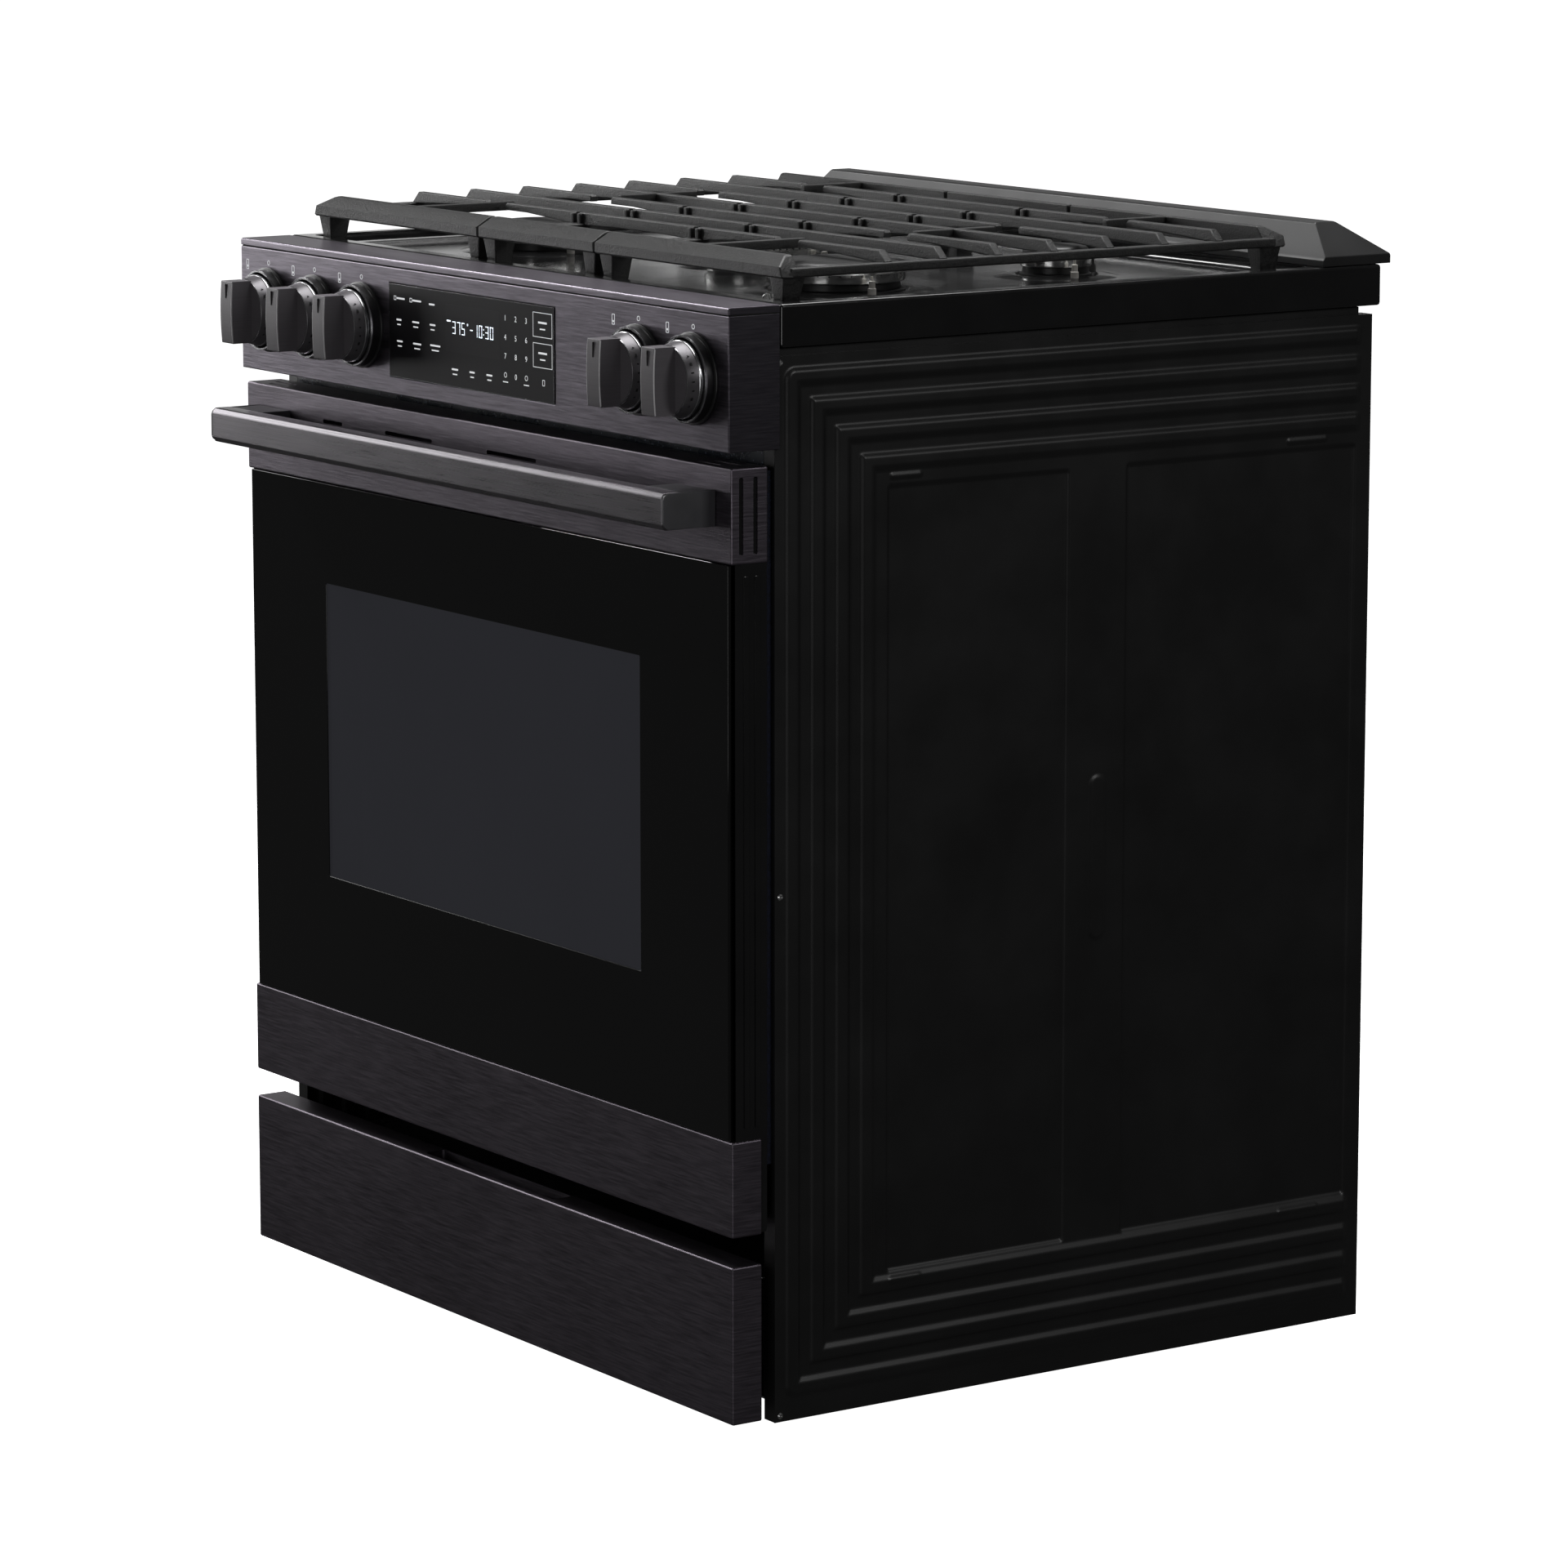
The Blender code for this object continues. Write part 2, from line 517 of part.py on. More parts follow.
# ------------------------------------------------------------------ cooktop
def cooktop():
    top = box((-TOP_X, TOP_Y0, TOP_Z0), (TOP_X, TOP_Y1, TOP_Z1))
    mesh = bmesh.new()
    mesh.from_mesh(top.data)
    bmesh.ops.delete(mesh, geom=[f for f in mesh.faces if f.normal.z < -0.5], context="FACES")
    pan = [f for f in mesh.faces if f.normal.z > 0.5]
    bmesh.ops.inset_region(mesh, faces=pan, thickness=RIM)
    half = (TOP_Z1 - TOP_Z0) / 2
    rear = max(v.co.y for v in pan[0].verts)
    for vertex in pan[0].verts:
        if vertex.co.y > rear - 0.001:
            vertex.co.y -= TRIM_SEAT - RIM
    bmesh.ops.inset_region(mesh, faces=pan, thickness=0.006)
    for vertex in pan[0].verts:
        vertex.co.z = half - RECESS
    mesh.to_mesh(top.data)
    mesh.free()
    solidify(top, SHEET)
    finish(top, "cooktop", "black_enamel")


BURNERS = (("left_front", -BURNER_X, BURNER_FRONT_Y, 0.050), ("left_rear", -BURNER_X, BURNER_REAR_Y, 0.038),
           ("centre", 0.0, 0.018, 0.036), ("right_front", BURNER_X, BURNER_FRONT_Y, 0.056),
           ("right_rear", BURNER_X, BURNER_REAR_Y, 0.030))
OVAL_LENGTH = 0.170    # of the centre burner, along Y


def stadium(radius, length, steps=10):
    """An outline with straight sides along Y and round ends."""
    half = length / 2 - radius
    points = []
    for sign in (1, -1):
        for i in range(steps + 1):
            a = math.pi * i / steps + (0 if sign > 0 else math.pi)
            points.append((radius * math.cos(a), sign * half + radius * math.sin(a)))
    return points


def burners():
    foot, head_h, cap_h = PAN_Z + GAP, 0.0175, 0.0075
    cap_z = foot + head_h + GAP
    for name, x, y, r in BURNERS:
        if name == "centre":
            head = prism([stadium(r, OVAL_LENGTH)], "Z", foot, foot + head_h)
            cap = prism([stadium(r - 0.003, OVAL_LENGTH - 0.006)], "Z", cap_z, cap_z + cap_h)
            place(head, (x, y, head.location.z))
            place(cap, (x, y, cap.location.z))
        else:
            head = place(turned([(0, head_h), (r * 0.94, head_h), (r, head_h * 0.45), (r, 0), (0, 0)], 32),
                         (x, y, foot))
            cap = place(turned([(0, cap_h), (r * 0.80, cap_h), (r * 0.92, cap_h * 0.55), (r * 0.92, 0),
                                (0, 0)], 32), (x, y, cap_z))
        finish(head, f"burner_{name}", "aluminium")
        finish(cap, f"cap_{name}", "black_enamel")


def bar_along_x(x0, x1, y, z1, drop0, drop1):
    """A bar along X whose ends slope down where drop0 or drop1 isn't 0."""
    z0 = z1 - BAR_H
    outline = [(x0, z0), (x1, z0)]
    outline += [(x1, z1 - drop1), (x1 - drop1, z1)] if drop1 else [(x1, z1)]
    outline += [(x0 + drop0, z1), (x0, z1 - drop0)] if drop0 else [(x0, z1)]
    return prism([outline], "Y", y - BAR_W / 2, y + BAR_W / 2)


def grate(name, x0, x1, burner_x, ends):
    """One section: a low frame with a leg at each corner, and bars that rise above it."""
    rail, low_z1, leg = 0.012, GRATE_Z - 0.011, 0.018
    low_z0 = low_z1 - 0.008
    frame = prism([rectangle(x0, GRATE_Y0, x1, GRATE_Y1),
                   rectangle(x0 + rail, GRATE_Y0 + rail, x1 - rail, GRATE_Y1 - rail)], "Z", low_z0, low_z1)
    slope, back = 0.013, 0.022
    for y_out, y_in in ((GRATE_Y0, GRATE_Y0 + back), (GRATE_Y1, GRATE_Y1 - back)):
        step = math.copysign(slope, y_in - y_out)
        outline = [(y_out, low_z0 + 0.0004), (y_in, low_z0 + 0.0004), (y_in, GRATE_Z - 0.0002),
                   (y_out + step, GRATE_Z - 0.0002), (y_out, low_z1 - 0.0006)]
        beam = prism([outline], "X", x0 + 0.0005, x1 - 0.0005)
        join(frame, beam)
    for k, y in enumerate(BAR_YS):
        inner0, inner1 = x0 + 0.003, x1 - 0.003
        z1 = GRATE_Z - 0.0004
        if k % 2 or not ends:
            join(frame, bar_along_x(inner0, inner1, y, z1, 0.010, 0.010))
        else:
            join(frame, bar_along_x(inner0, burner_x - 0.016, y, z1, 0.010, 0))
            join(frame, bar_along_x(burner_x + 0.016, inner1, y, z1, 0, 0.010))
    if ends:
        half, z1 = BAR_W / 2, GRATE_Z - 0.0007
        for y0, y1 in ((GRATE_Y0 + 0.015, BAR_YS[0] + 0.012), (BAR_YS[3] - 0.042, BAR_YS[3] + 0.042),
                       (BAR_YS[6] - 0.012, GRATE_Y1 - 0.015)):
            join(frame, box((burner_x - half, y0, z1 - BAR_H), (burner_x + half, y1, z1)))
    for lx in (x0 + 0.0012, x1 - 0.0012 - leg):
        for ly in (GRATE_Y0 + 0.004, GRATE_Y1 - 0.004 - leg):
            join(frame, box((lx, ly, PAN_Z + GAP), (lx + leg, ly + leg, low_z0 + 0.003)))
    finish(frame, name, "cast_iron")


def grates():
    joint = 0.0008
    grate("grate_left", -GRATE_X, -GRATE_MID_X - joint, -BURNER_X, True)
    grate("grate_centre", -GRATE_MID_X + joint, GRATE_MID_X - joint, 0.0, False)
    grate("grate_right", GRATE_MID_X + joint, GRATE_X, BURNER_X, True)


def rear_trim():
    wall = 0.007
    trim = box((-TRIM_X, TRIM_Y0, TOP_Z1 + GAP), (TRIM_X, TRIM_Y1, TOP_Z1 + wall))
    hip = frustum((-TRIM_X, TRIM_Y0, TOP_Z1 + wall - 0.001), (TRIM_X, TRIM_Y1, TRIM_Z1), 0.028, 0.012, 0.036)
    join(trim, hip)
    finish(trim, "rear_trim", "black_enamel")


def main():
    start()
    side_panels()
    back_panel()
    base_frame()
    feet()
    front_frame()
    oven_cavity()
    racks()
    oven_burners()
    convection()
    gasket()
    door()
    handle()
    drawer()
    control_panel()
    knobs()
    gas_manifold()
    cooktop()
    burners()
    grates()
    rear_trim()


main()
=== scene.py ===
"""Looks of the gas range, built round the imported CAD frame. Metres, +Z up, the front faces -Y."""
import contextlib
import math

import bmesh
import bpy
from mathutils import Matrix, Vector


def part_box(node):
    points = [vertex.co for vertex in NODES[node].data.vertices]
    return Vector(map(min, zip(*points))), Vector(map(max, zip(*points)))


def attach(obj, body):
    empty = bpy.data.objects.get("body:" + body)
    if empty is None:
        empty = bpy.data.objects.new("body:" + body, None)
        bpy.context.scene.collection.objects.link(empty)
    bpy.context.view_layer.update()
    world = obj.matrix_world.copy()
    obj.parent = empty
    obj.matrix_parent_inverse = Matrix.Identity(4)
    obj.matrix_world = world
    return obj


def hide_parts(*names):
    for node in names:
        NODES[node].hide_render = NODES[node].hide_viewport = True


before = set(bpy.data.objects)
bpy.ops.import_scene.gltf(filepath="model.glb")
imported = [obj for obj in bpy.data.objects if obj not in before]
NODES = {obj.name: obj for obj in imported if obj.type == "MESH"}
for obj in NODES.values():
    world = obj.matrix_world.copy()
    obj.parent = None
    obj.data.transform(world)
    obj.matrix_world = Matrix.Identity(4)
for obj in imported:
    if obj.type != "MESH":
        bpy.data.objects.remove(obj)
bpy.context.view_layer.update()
scene = bpy.context.scene


# ------------------------------------------------------------------ materials
def new_material(name):
    made = bpy.data.materials.new(name)
    made.use_nodes = True
    return made, made.node_tree, made.node_tree.nodes["Principled BSDF"]


def add(tree, kind, inputs=None, **settings):
    made = tree.nodes.new(kind)
    for key, value in settings.items():
        setattr(made, key, value)
    for key, value in (inputs or {}).items():
        if isinstance(value, bpy.types.NodeSocket):
            tree.links.new(value, made.inputs[key])
        else:
            made.inputs[key].default_value = value
    return made


def noise(tree, scale, stretch=(1, 1, 1), rough=0.55):
    """A noise value in object space; stretch makes it finer along an axis."""
    where = add(tree, "ShaderNodeTexCoord")
    mapped = add(tree, "ShaderNodeMapping", {"Vector": where.outputs["Object"], "Scale": stretch})
    made = add(tree, "ShaderNodeTexNoise", {"Vector": mapped.outputs["Vector"], "Scale": scale,
                                            "Detail": 3.0, "Roughness": rough})
    return made.outputs["Fac"]


def grain(tree, across, along):
    """Brushing in level lines on the faces that look forward or sideways, and along X on top faces."""
    upright = noise(tree, 1.0, (along, along, across), 0.6)
    lying = noise(tree, 1.0, (along, across, along), 0.6)
    facing = add(tree, "ShaderNodeNewGeometry")
    parts = add(tree, "ShaderNodeSeparateXYZ", {"Vector": facing.outputs["Normal"]})
    height = add(tree, "ShaderNodeMath", {0: parts.outputs["Z"]}, operation="ABSOLUTE")
    is_top = add(tree, "ShaderNodeMath", {0: height.outputs[0], 1: 0.7}, operation="GREATER_THAN")
    mixed = add(tree, "ShaderNodeMix", {"Factor": is_top.outputs[0], "A": upright, "B": lying},
                data_type="FLOAT")
    return mixed.outputs["Result"]


def ramp(tree, value, low, high):
    made = add(tree, "ShaderNodeValToRGB", {"Fac": value})
    for stop, place, colour in zip(made.color_ramp.elements, (0.3, 0.7), (low, high)):
        stop.position, stop.color = place, (*colour, 1)
    return made.outputs["Color"]


def spread(tree, value, low, high, start=0.3, end=0.7):
    made = add(tree, "ShaderNodeMapRange", {"Value": value, "From Min": start, "From Max": end,
                                            "To Min": low, "To Max": high})
    return made.outputs["Result"]


def relief(tree, shader, height, strength, depth):
    made = add(tree, "ShaderNodeBump", {"Height": height, "Strength": strength, "Distance": depth})
    tree.links.new(made.outputs["Normal"], shader.inputs["Normal"])


def surface(name, low, high, rough, metal=0.0, scale=60.0, bump=0.1, fine=900.0, depth=0.0002,
            specular=None, brushed=None):
    """Colour and roughness from one noise, and bump from a finer one or from the brushing."""
    made, tree, shader = new_material(name)
    tone = noise(tree, scale)
    close = grain(tree, *brushed) if brushed else noise(tree, fine)
    if brushed:
        part = add(tree, "ShaderNodeMath", {0: tone, 1: 0.25}, operation="MULTIPLY")
        both = add(tree, "ShaderNodeMath", {0: close, 1: 0.75, 2: part.outputs[0]}, operation="MULTIPLY_ADD")
        tone = both.outputs[0]
    tree.links.new(ramp(tree, tone, low, high), shader.inputs["Base Color"])
    tree.links.new(spread(tree, tone, *rough), shader.inputs["Roughness"])
    if bump:
        relief(tree, shader, close, bump, depth)
    shader.inputs["Metallic"].default_value = metal
    if specular is not None:
        shader.inputs["Specular IOR Level"].default_value = specular
    return made


STEEL = surface("black_stainless", (0.094, 0.083, 0.099), (0.196, 0.173, 0.204), (0.36, 0.46), 1.0,
                5.0, bump=0.55, brushed=(620.0, 34.0), depth=0.00025)
# A lighter copy of the black stainless for the control panel's front, lip and floor: painted light, where the
# panel face catches more of the softbox.
PANEL_STEEL_PAINTED_LIGHT = surface("black_stainless_panel_painted_light", (0.122, 0.11, 0.13), (0.248, 0.224, 0.262), (0.31, 0.39),
                      1.0, 5.0, bump=0.5, brushed=(620.0, 34.0), depth=0.00025)
HANDLE_STEEL = surface("handle_steel", (0.19, 0.179, 0.193), (0.29, 0.275, 0.295), (0.25, 0.34), 1.0, 5.0,
                       bump=0.12, brushed=(1300.0, 14.0), depth=0.0001)
# A darker copy of the black stainless for the control panel's ends: painted shade on the faces that look
# sideways.
END_STEEL_PAINTED_SHADE = surface("panel_end_painted_shade", (0.05, 0.046, 0.056), (0.074, 0.069, 0.08), (0.38, 0.46), 1.0,
                    5.0, bump=0.3, brushed=(620.0, 34.0), depth=0.0002)
POST_STEEL = surface("post_steel", (0.062, 0.062, 0.067), (0.08, 0.08, 0.085), (0.4, 0.5), 0.3, 30.0)
KNOB_STEEL = surface("knob_steel", (0.1, 0.093, 0.101), (0.128, 0.119, 0.129), (0.36, 0.44), 0.22, 5.0,
                     bump=0.1, brushed=(1100.0, 12.0), depth=0.0001)
KNOB_DARK = surface("knob_skirt_steel", (0.105, 0.1, 0.107), (0.135, 0.129, 0.137), (0.32, 0.4), 0.6,
                    90.0, bump=0.05)
# Pale strips along the knob blades' edges: painted highlights.
KNOB_EDGE_HIGHLIGHT = surface("knob_edge_painted_highlight", (0.46, 0.45, 0.46), (0.56, 0.55, 0.56), (0.36, 0.44), 0.5, 90.0,
                    bump=0.05)
CHROME = surface("bright_ring", (0.34, 0.34, 0.35), (0.44, 0.44, 0.45), (0.18, 0.28), 1.0, 120.0, bump=0.03)
SHEET = surface("satin_black_sheet", (0.006, 0.006, 0.006), (0.0076, 0.0076, 0.0077), (0.34, 0.44), 0.0,
                14.0, bump=0.07, fine=1400.0)
ENAMEL = surface("black_enamel", (0.006, 0.006, 0.0062), (0.008, 0.008, 0.0083), (0.12, 0.2), 0.0,
                 18.0, bump=0.04, fine=260.0, depth=0.0003)
TRIM = surface("trim_enamel", (0.0052, 0.0052, 0.0055), (0.0078, 0.0078, 0.0082), (0.38, 0.46), 0.0,
               18.0, bump=0.05, fine=700.0)
IRON = surface("cast_iron", (0.0042, 0.0042, 0.0042), (0.0165, 0.0164, 0.0161), (0.38, 0.54), 0.0, 420.0,
               bump=0.7, fine=620.0, depth=0.0005)
CAP = surface("burner_cap", (0.0055, 0.0055, 0.0057), (0.0095, 0.0095, 0.0098), (0.34, 0.46), 0.0, 120.0,
              bump=0.2, fine=1300.0)
GLASS = surface("black_glass", (0.004, 0.004, 0.0041), (0.0046, 0.0046, 0.0047), (0.03, 0.06), 0.0, 6.0,
                bump=0.0)
TOUCH_GLASS = surface("touch_glass", (0.008, 0.0073, 0.009), (0.0088, 0.008, 0.0098), (0.34, 0.4),
                      scale=6.0, bump=0, specular=0.12)
DISPLAY_GREY = surface("display_grey", (0.0115, 0.0105, 0.013), (0.0128, 0.0117, 0.0143), (0.35, 0.42),
                       scale=90.0, bump=0, specular=0.12)
CERAMIC = surface("ceramic", (0.55, 0.53, 0.49), (0.68, 0.66, 0.62), (0.3, 0.45), scale=120.0)
ALUMINIUM = surface("burner_aluminium", (0.72, 0.72, 0.71), (0.84, 0.84, 0.83), (0.14, 0.22), 1.0, 40.0,
                    bump=0.04, fine=1500.0)
ZINC = surface("galvanised_steel", (0.31, 0.315, 0.32), (0.37, 0.375, 0.38), (0.4, 0.48), 1.0, 220.0,
               bump=0.1, fine=500.0)
BRIGHT = surface("plated_steel", (0.5, 0.5, 0.5), (0.64, 0.64, 0.64), (0.2, 0.32), 1.0, 60.0, bump=0.08)
BRASS = surface("brass", (0.38, 0.26, 0.09), (0.55, 0.4, 0.16), (0.28, 0.45), 1.0, 60.0, bump=0.1)
PLASTIC = surface("black_plastic", (0.007, 0.007, 0.007), (0.012, 0.012, 0.012), (0.5, 0.62), 0.0, 200.0,
                  bump=0.2, fine=1600.0)
# Near-black, for the knob's pointer and tick marks, and as painted shade behind the panel's groove and in the
# burner ports.
DARK_PRINT_AND_SHADE = surface("dark_print_and_painted_shade", (0.001, 0.001, 0.0011), (0.0018, 0.0018, 0.0019), (0.75, 0.9), 0.0, 90.0,
               bump=0.05)
COLLAR = surface("collar_black", (0.0045, 0.0045, 0.0047), (0.0075, 0.0075, 0.0078), (0.3, 0.4), 0.0,
                 120.0, bump=0.05)
FIBRE = surface("glass_fibre", (0.001, 0.0011, 0.0022), (0.014, 0.019, 0.046), (0.85, 0.95), 0.0, 700.0,
                bump=0.8, fine=1100.0, depth=0.0008)


def speckled_enamel():
    made, tree, shader = new_material("oven_enamel")
    base = ramp(tree, noise(tree, 12.0), (0.01, 0.013, 0.02), (0.016, 0.02, 0.03))
    where = add(tree, "ShaderNodeTexCoord")
    cells = add(tree, "ShaderNodeTexVoronoi", {"Vector": where.outputs["Object"], "Scale": 260.0})
    spots = spread(tree, cells.outputs["Distance"], 1.0, 0.0, 0.1, 0.22)
    mixed = add(tree, "ShaderNodeMix", {"Factor": spots, "A": base, "B": (0.16, 0.19, 0.25, 1)},
                data_type="RGBA")
    tree.links.new(mixed.outputs["Result"], shader.inputs["Base Color"])
    tree.links.new(spread(tree, noise(tree, 30.0), 0.22, 0.34), shader.inputs["Roughness"])
    relief(tree, shader, noise(tree, 420.0), 0.12, 0.0003)
    return made


def glowing(name, scale, low, high, strength, rough, alpha=1.0):
    """A material that gives off a little of its own colour."""
    made, tree, shader = new_material(name)
    tint = ramp(tree, noise(tree, scale), low, high)
    for socket in ("Base Color", "Emission Color"):
        tree.links.new(tint, shader.inputs[socket])
    for socket, value in (("Emission Strength", strength), ("Roughness", rough), ("Alpha", alpha)):
        shader.inputs[socket].default_value = value
    return made


def lit_mark(name, colour, strength):
    """White print, given a painted glow, and lit digits behind the glass."""
    return glowing(name, 900.0, tuple(c * 0.88 for c in colour), colour, strength, 0.5)


SPECKLE = speckled_enamel()
# The door's window panes give off a little light of their own: painted light that lifts the dark window.
WINDOW_PAINTED_GLOW = glowing("window_glass", 5.0, (0.015, 0.0153, 0.0185), (0.016, 0.0164, 0.0198), 0.85, 0.05,
                 alpha=0.86)
# The white print gives off light of its own: a painted glow, as print is no lamp.
PRINT_PAINTED_GLOW = lit_mark("white_print_painted_glow", (0.66, 0.67, 0.69), 0.8)
DIGITS = lit_mark("lit_digits", (0.86, 0.93, 1.0), 1.6)


# ------------------------------------------------------------------ mesh helpers
def as_mesh(obj):
    """The evaluated mesh of a scratch object, which is then removed."""
    scene.collection.objects.link(obj)
    graph = bpy.context.evaluated_depsgraph_get()
    mesh = bpy.data.meshes.new_from_object(obj.evaluated_get(graph))
    bpy.data.objects.remove(obj, do_unlink=True)
    return mesh


@contextlib.contextmanager
def editing(mesh):
    """A bmesh of the mesh, written back at the end of a with block."""
    work = bmesh.new()
    work.from_mesh(mesh)
    yield work
    work.to_mesh(mesh)
    work.free()


def rounded(work, edges, radius, steps=2, clamp=False):
    bmesh.ops.bevel(work, geom=edges, offset=radius, segments=steps, profile=0.5, affect="EDGES",
                    clamp_overlap=clamp)


def tag(mesh, index):
    """Turns the faces outwards and gives them a material index."""
    with editing(mesh) as work:
        bmesh.ops.remove_doubles(work, verts=work.verts, dist=1e-6)
        bmesh.ops.recalc_face_normals(work, faces=work.faces)
        for face in work.faces:
            face.material_index = index
    return mesh


def block(low, high, radius=0.0008, steps=2, index=0):
    """A box with rounded edges."""
    low, high = Vector(low), Vector(high)
    mesh = bpy.data.meshes.new("block")
    with editing(mesh) as work:
        bmesh.ops.create_cube(work, size=1.0)
        for vertex in work.verts:
            vertex.co = (low + high) / 2 + vertex.co * (high - low)
        if radius:
            rounded(work, work.edges[:], radius, steps)
    return tag(mesh, index)


PLANES = {"X": lambda u, v, w: (w, u, v), "Y": lambda u, v, w: (u, w, v), "Z": lambda u, v, w: (u, v, w)}


def plate(outlines, axis, low, high, radius=0.0, index=0, steps=2):
    """Flat outlines, the inner ones holes, extruded along an axis with rounded rims."""
    low, high = min(low, high), max(low, high)
    curve = bpy.data.curves.new("plate", "CURVE")
    curve.dimensions, curve.fill_mode = "2D", "BOTH"
    for points in outlines:
        line = curve.splines.new("POLY")
        line.points.add(len(points) - 1)
        for point, (u, v) in zip(line.points, points):
            point.co = (u, v, 0, 1)
        line.use_cyclic_u = True
    curve.extrude = (high - low) / 2 - radius
    if radius:
        curve.bevel_depth, curve.bevel_resolution, curve.offset = radius, steps, -radius
    mesh = as_mesh(bpy.data.objects.new("plate", curve))
    for vertex in mesh.vertices:
        u, v, w = vertex.co
        vertex.co = PLANES[axis](u, v, w + (low + high) / 2)
    return tag(mesh, index)


def rect(u0, v0, u1, v1, corner=0.0, steps=5):
    if not corner:
        return [(u0, v0), (u1, v0), (u1, v1), (u0, v1)]
    points = []
    for u, v, start in ((u1 - corner, v0 + corner, -90), (u1 - corner, v1 - corner, 0),
                        (u0 + corner, v1 - corner, 90), (u0 + corner, v0 + corner, 180)):
        for i in range(steps + 1):
            a = math.radians(start + 90 * i / steps)
            points.append((u + corner * math.cos(a), v + corner * math.sin(a)))
    return points


def ring(u, v, radius, steps=32):
    return [(u + radius * math.cos(math.tau * i / steps), v + radius * math.sin(math.tau * i / steps))
            for i in range(steps)]


def hollow(u0, v0, u1, v1, line, outer=(), inner=()):
    """A rectangle's outline of one line width."""
    return [rect(u0, v0, u1, v1, *outer), rect(u0 + line, v0 + line, u1 - line, v1 - line, *inner)]


def hoop(u, v, radius, line, steps):
    return [ring(u, v, radius, steps), ring(u, v, radius - line, steps)]


def turned(profile, centre, axis="Z", steps=48, index=0):
    """A closed profile of (radius, height) turned round an axis through centre."""
    points, faces, rows = [], [], []
    for radius, height in profile:
        row = []
        for i in range(steps if radius > 1e-6 else 1):
            a = math.tau * i / steps
            row.append(len(points))
            points.append((radius * math.cos(a), radius * math.sin(a), height))
        rows.append(row)
    for one, two in zip(rows, rows[1:] + ([rows[0]] if profile[0][0] > 1e-6 else [])):
        for i in range(steps):
            a, b = one[i % len(one)], one[(i + 1) % len(one)]
            c, d = two[(i + 1) % len(two)], two[i % len(two)]
            face = [k for n, k in enumerate((a, b, c, d)) if k not in (a, b, c, d)[:n]]
            if len(face) > 2:
                faces.append(face)
    mesh = bpy.data.meshes.new("turned")
    mesh.from_pydata([Vector(PLANES[axis](*p)) + Vector(centre) for p in points], [], faces)
    return tag(mesh, index)


def tube(points, radius, index=0, cyclic=False, steps=3):
    curve = bpy.data.curves.new("tube", "CURVE")
    curve.dimensions, curve.use_fill_caps = "3D", True
    curve.bevel_depth, curve.bevel_resolution = radius, steps
    line = curve.splines.new("POLY")
    line.points.add(len(points) - 1)
    for point, co in zip(line.points, points):
        point.co = (*co, 1)
    line.use_cyclic_u = cyclic
    return tag(as_mesh(bpy.data.objects.new("tube", curve)), index)


def words(text, size, place):
    """Digits standing on the front plane, centred at place."""
    curve = bpy.data.curves.new("digits", "FONT")
    curve.body, curve.size, curve.align_x, curve.align_y = text, size, "CENTER", "CENTER"
    curve.extrude = 0.00006
    curve.resolution_u = 3
    mesh = as_mesh(bpy.data.objects.new("digits", curve))
    mesh.transform(Matrix.Translation(place) @ Matrix.Rotation(math.radians(90), 4, "X"))
    return tag(mesh, 0)


def cut(mesh, *cutters):
    """The mesh with the cutters taken out of it."""
    target = bpy.data.objects.new("target", mesh)
    others = []
    for cutter in cutters:
        other = bpy.data.objects.new("cutter", cutter)
        scene.collection.objects.link(other)
        others.append(other)
        modifier = target.modifiers.new("cut", "BOOLEAN")
        modifier.object, modifier.operation, modifier.solver = other, "DIFFERENCE", "EXACT"
    made = as_mesh(target)
    for other in others:
        bpy.data.objects.remove(other, do_unlink=True)
    return made


def mirrored(mesh):
    """A copy on the other side of the middle plane."""
    copy = mesh.copy()
    copy.transform(Matrix.Diagonal((-1, 1, 1, 1)))
    copy.flip_normals()
    return copy


def piece(name, meshes, looks, body, stands_for=(), crease=32):
    """Joins meshes into one named piece on a body."""
    work = bmesh.new()
    for mesh in meshes:
        work.from_mesh(mesh)
    joined = bpy.data.meshes.new(name)
    work.to_mesh(joined)
    work.free()
    for mesh in set(meshes):
        bpy.data.meshes.remove(mesh)
    for look in looks:
        joined.materials.append(look)
    joined.shade_smooth()
    joined.set_sharp_from_angle(angle=math.radians(crease))
    obj = bpy.data.objects.new(name, joined)
    scene.collection.objects.link(obj)
    weighted = obj.modifiers.new("weighted", "WEIGHTED_NORMAL")
    weighted.keep_sharp, weighted.weight = True, 100
    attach(obj, body)
    if stands_for:
        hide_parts(*stands_for)
    return obj


def low(node):
    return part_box(node)[0]


def high(node):
    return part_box(node)[1]


def middle(node):
    a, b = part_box(node)
    return Vector((a + b) / 2)


def span(side, one, two, middle_x=0.0):
    """Two places on one side of the middle, in rising order."""
    return sorted((middle_x + side * one, middle_x + side * two))


def stretched(mesh, middle_y, by):
    """The mesh pulled apart along Y, which makes a round shape an oval."""
    for vertex in mesh.vertices:
        away = vertex.co.y - middle_y
        if abs(away) > 1e-5:
            vertex.co.y += math.copysign(by, away)
    return mesh


